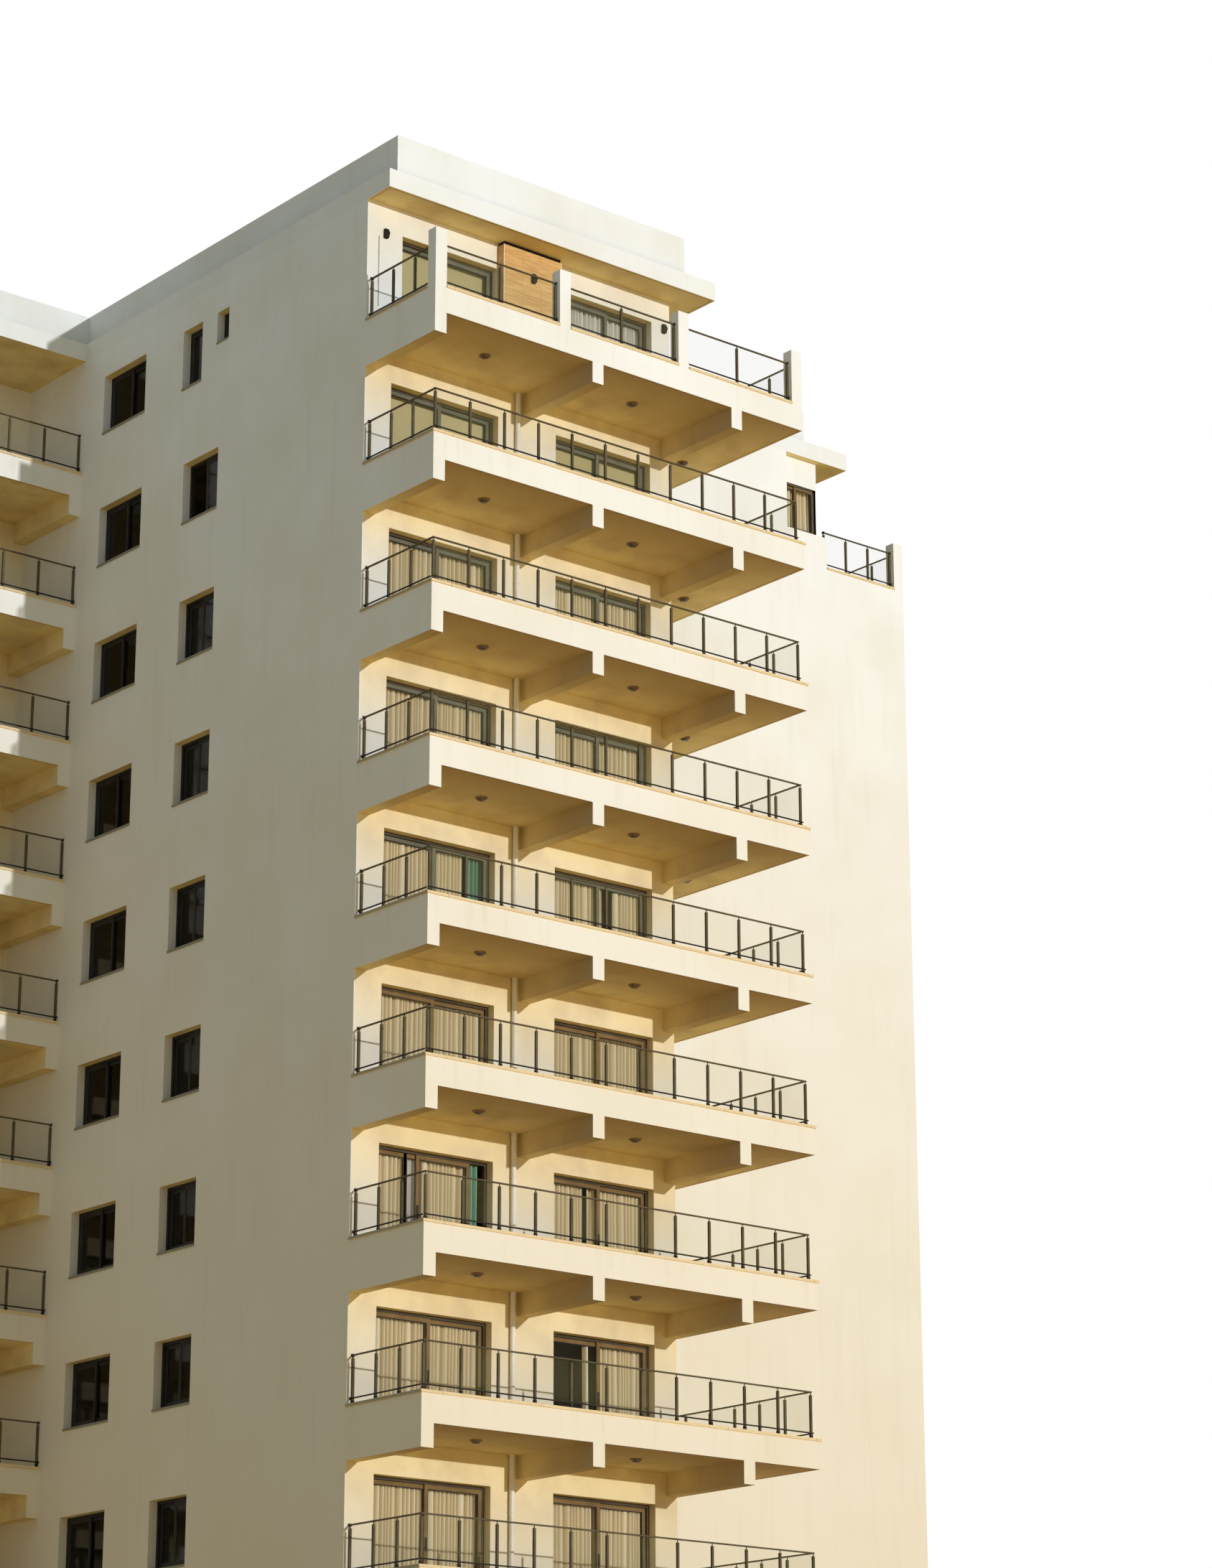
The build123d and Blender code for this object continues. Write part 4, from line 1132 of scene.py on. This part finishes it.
def joined(groups):
    """Several sets of bars in one mesh, with each bar's faces renumbered."""
    points, faces, first = [], [], 0
    for placed, pattern, count in groups:
        points.append(placed)
        starts = first + 2 * edges * np.arange(count)
        faces.append((pattern + starts[:, None, None]).reshape(-1, 4))
        first += len(placed)
    return np.vstack(points), np.vstack(faces)


# %% [markdown]
# The top rail is 44 mm wide, slimmer than its solid, as seen from the street.
# Where a rail meets a wall or a pier it is held by a small black bracket: an
# end of a rail has one if it lies in the plane of a pier's or a wall's face.

# %% Rails and brackets
rail_wide, rail_tall, rail_ease = 0.044, 0.027, 0.006
grip, grip_long, touching = 0.011, 0.03, 0.002
stops = [(left_face, front_face, 0), (side_face, wing_face, 0), tuple(apron_high)]
stops = np.vstack([*boxes_of("penthouse_piers"), stops])
tops, lows, brackets = [], [], []
for name, axis in (("front_rails", 0), ("side_rails", 1)):
    low, high = boxes_of(name)
    is_top = high[:, 2] - low[:, 2] > rail_tall
    spare = is_top * ((high - low)[:, 1 - axis] - rail_wide) / 2
    high[is_top, 2] = low[is_top, 2] + rail_tall
    low[:, 1 - axis] += spare
    high[:, 1 - axis] -= spare
    for side in (0, 1):
        tip = (low, high)[side][:, axis].copy()
        held = (abs(tip[:, None] - stops[:, axis]) < touching).any(1)
        under, over = low[held] - grip, high[held] + grip
        under[:, axis] = tip[held] - side * grip_long
        over[:, axis] = tip[held] + (1 - side) * grip_long
        brackets.append(np.hstack([under, over]))
        inwards = (1 - 2 * side) * np.where(axis == 0, ~held, -1) * spare
        (low, high)[side][:, axis] += inwards
    tops.append(bars(low[is_top], high[is_top], axis, rail_ease))
    lows.append(bars(low[~is_top], high[~is_top], axis, rail_ease / 2))
top_rails = piece("top_rails", *joined(tops), anthracite, "railing")
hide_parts("front_rails", "side_rails")
piece("low_rails", *joined(lows), black_coat, "railing")
piece("rail_brackets", *boxes(np.vstack(brackets)), rubber, "railing")

# %% [markdown]
# Water that runs round the edge of a soffit would stain it, so the plasterer
# beds a thin drip bead 50 mm inside each free edge. Its strip is coloured as
# the painted shadow line that the groove shows from the street.

# %% Drip beads under balconies and roof
bead, bead_drop, bead_inset = 0.012, 0.003, 0.05


def edge_bead(low, high, edge, back):
    """A strip inside one free edge of a soffit; one at the side runs from the front to back."""
    left, front, under = low[0] + bead_inset, low[1] + bead_inset, low[2]
    right = high[0] - bead_inset
    if edge == "front":
        return left, front, under - bead_drop, right, front + bead, under
    at = left if edge == "left" else right - bead
    return at, front, under - bead_drop, at + bead, back, under


beads = []
for low, high in zip(*boxes_of("balcony_slabs")):
    beside_wall = abs(high[0] - left_face) < touching
    free = ("front", "left") if beside_wall else ("front", "left", "right")
    beads += [edge_bead(low, high, edge, high[1]) for edge in free]
for low, high in zip(*boxes_of("side_slabs")):
    beads.append(edge_bead(low - (0, bead_inset, 0), high, "right", high[1]))
low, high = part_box("front_roof")
for edge, back in (("front", high.y), ("left", front_face), ("right", high.y)):
    beads.append(edge_bead(low, high, edge, back))
# The beads are coloured as the painted shadow line of the drip groove.
piece("drip_beads", *boxes(beads), drip_shadow_line)

# %% [markdown]
# A thin conduit runs down the wall below the first lamp of the penthouse. It
# is a turned shape again, with two couplings.

# %% Conduit
tube, coupling, run = 0.009, 0.013, 1.49
from_left, above_floor, tube_sides = 0.28, 0.73, 10
profile = [(0, 0), (tube, 0)]
for height in (0.5, 1.1):
    profile += collar(tube, coupling, height, 0.042, 0.002)
profile += [(tube, run), (0, run)]
places = [(left_face + from_left, front_face - coupling, penthouse + above_floor)]
piece("lamp_conduit", *repeated(*turned(profile, tube_sides), places), conduit_grey, crease=hard_crease)

# %% [markdown]
# The building stands on a plain pale floor in an even world that fills the
# shade, a little cooler than the sun. The camera, mirrors and glass see white
# in it, which makes the background white without more light on the building.
# In the same way the camera sees a pale floor that glows a little, but the
# light that it throws up is that of dry ground under a low sun.


# %% Floor and world
def seen_rays(tree):
    """1 where the camera looks, straight or through glass or a mirror, and 0 for light that bounces."""
    rays = add(tree, "LightPath", {})
    seen = rays["Is Camera Ray"]
    for kind in ("Is Glossy Ray", "Is Transmission Ray"):
        seen = add(tree, "Math", {0: seen, 1: rays[kind]}, operation="MAXIMUM")[0]
    return seen


floor_paint, tree = blank("pale studio floor", Roughness=0.95, Emission_Color=linear("#fff8ee"))
shader = tree.nodes["Principled BSDF"].inputs
seen = seen_rays(tree)
ground = add(tree, "Mix", {0: seen, 6: "#f6d194", 7: "#f2efe8"}, data_type="RGBA")[2]
glow = add(tree, "MapRange", {"Value": seen, "To Max": 0.42})[0]
tree.links.new(ground, shader["Base Color"])
tree.links.new(glow, shader["Emission Strength"])
reach = 300.0
corners = [(-reach, -reach, 0), (reach, -reach, 0), (reach, reach, 0), (-reach, reach, 0)]
mesh = bpy.data.meshes.new("studio_floor")
mesh.from_pydata(corners, [], [(0, 1, 2, 3)])
mesh.materials.append(floor_paint)
studio_floor = in_scene("studio_floor", mesh)

world = bpy.data.worlds.new("white studio")
world.use_nodes = True
bpy.context.scene.world = world
tree = world.node_tree
background = tree.nodes["Background"].inputs
seen = seen_rays(tree)
air = add(tree, "Mix", {0: seen, 6: "#dbf1ff", 7: "#ffffff"}, data_type="RGBA")[2]
strength = add(tree, "MapRange", {"Value": seen, "To Min": 0.4})[0]
tree.links.new(air, background["Color"])
tree.links.new(strength, background["Strength"])
print("floor reaches", reach, "m each way")

# %% [markdown]
# One sun lights the building from the street side, low and a little from the
# right, as in the photograph, so the left wall is in shade. A reflector that
# the camera doesn't see lies far out in the street and throws warm light up,
# which with the painted warm tint of their paint gives the undersides of the
# balconies their gold.


# %% Sun and reflector
def heading(bearing, climb):
    """(sin b cos c, cos b cos c, sin c) for a bearing b and a climb c, given in degrees."""
    b, c = math.radians(bearing), math.radians(climb)
    return Vector((math.sin(b) * math.cos(c), math.cos(b) * math.cos(c), math.sin(c)))


sun = bpy.data.lights.new("low sun", "SUN")
sun.energy = 2.22
sun.color = linear("#f2f6ff")[:3]
sun.angle = math.radians(0.6)
shine = heading(-7, -6)
in_scene("low sun", sun).rotation_euler = shine.to_track_quat("-Z", "Y").to_euler()
print("sun travels along", [round(value, 3) for value in shine])

street = bpy.data.lights.new("street reflector", "AREA")
street.shape = "RECTANGLE"
street.size, street.size_y = 90.0, 60.0
street.energy = 21000.0
street.color = linear("#ffda8c")[:3]
street_lamp = in_scene("street reflector", street)
to_the_right, before_the_block, above_ground = 20.0, 60.0, 0.05
street_lamp.location = (to_the_right, front_face - before_the_block, above_ground)
street_lamp.rotation_euler = (math.pi, 0.0, 0.0)
street_lamp.visible_camera = False
street_lamp.visible_glossy = False
print("reflector of", street.size, "by", street.size_y, "m lies in front of the block")

# %% [markdown]
# The photograph was taken from the street with a long lens, from far to the
# left and at eye height. These values come from fitting the level lines of
# the balconies, and they give the same frame.

# %% Camera
bpy.context.scene.view_settings.view_transform = "Standard"
lens = bpy.data.cameras.new("street camera")
lens.sensor_width = 36.0
lens.lens = 91.69
lens.clip_end = 1000.0
camera = in_scene("street camera", lens)
standpoint = Vector((-48.638, -64.842, 1.577))
roll = math.radians(-0.09)
aim = heading(39.59, 17.72).to_track_quat("-Z", "Y").to_matrix().to_4x4()
camera.matrix_world = Matrix.Translation(standpoint) @ aim @ Matrix.Rotation(roll, 4, "Z")
bpy.context.scene.camera = camera
print("camera stands at", [round(value, 1) for value in standpoint])
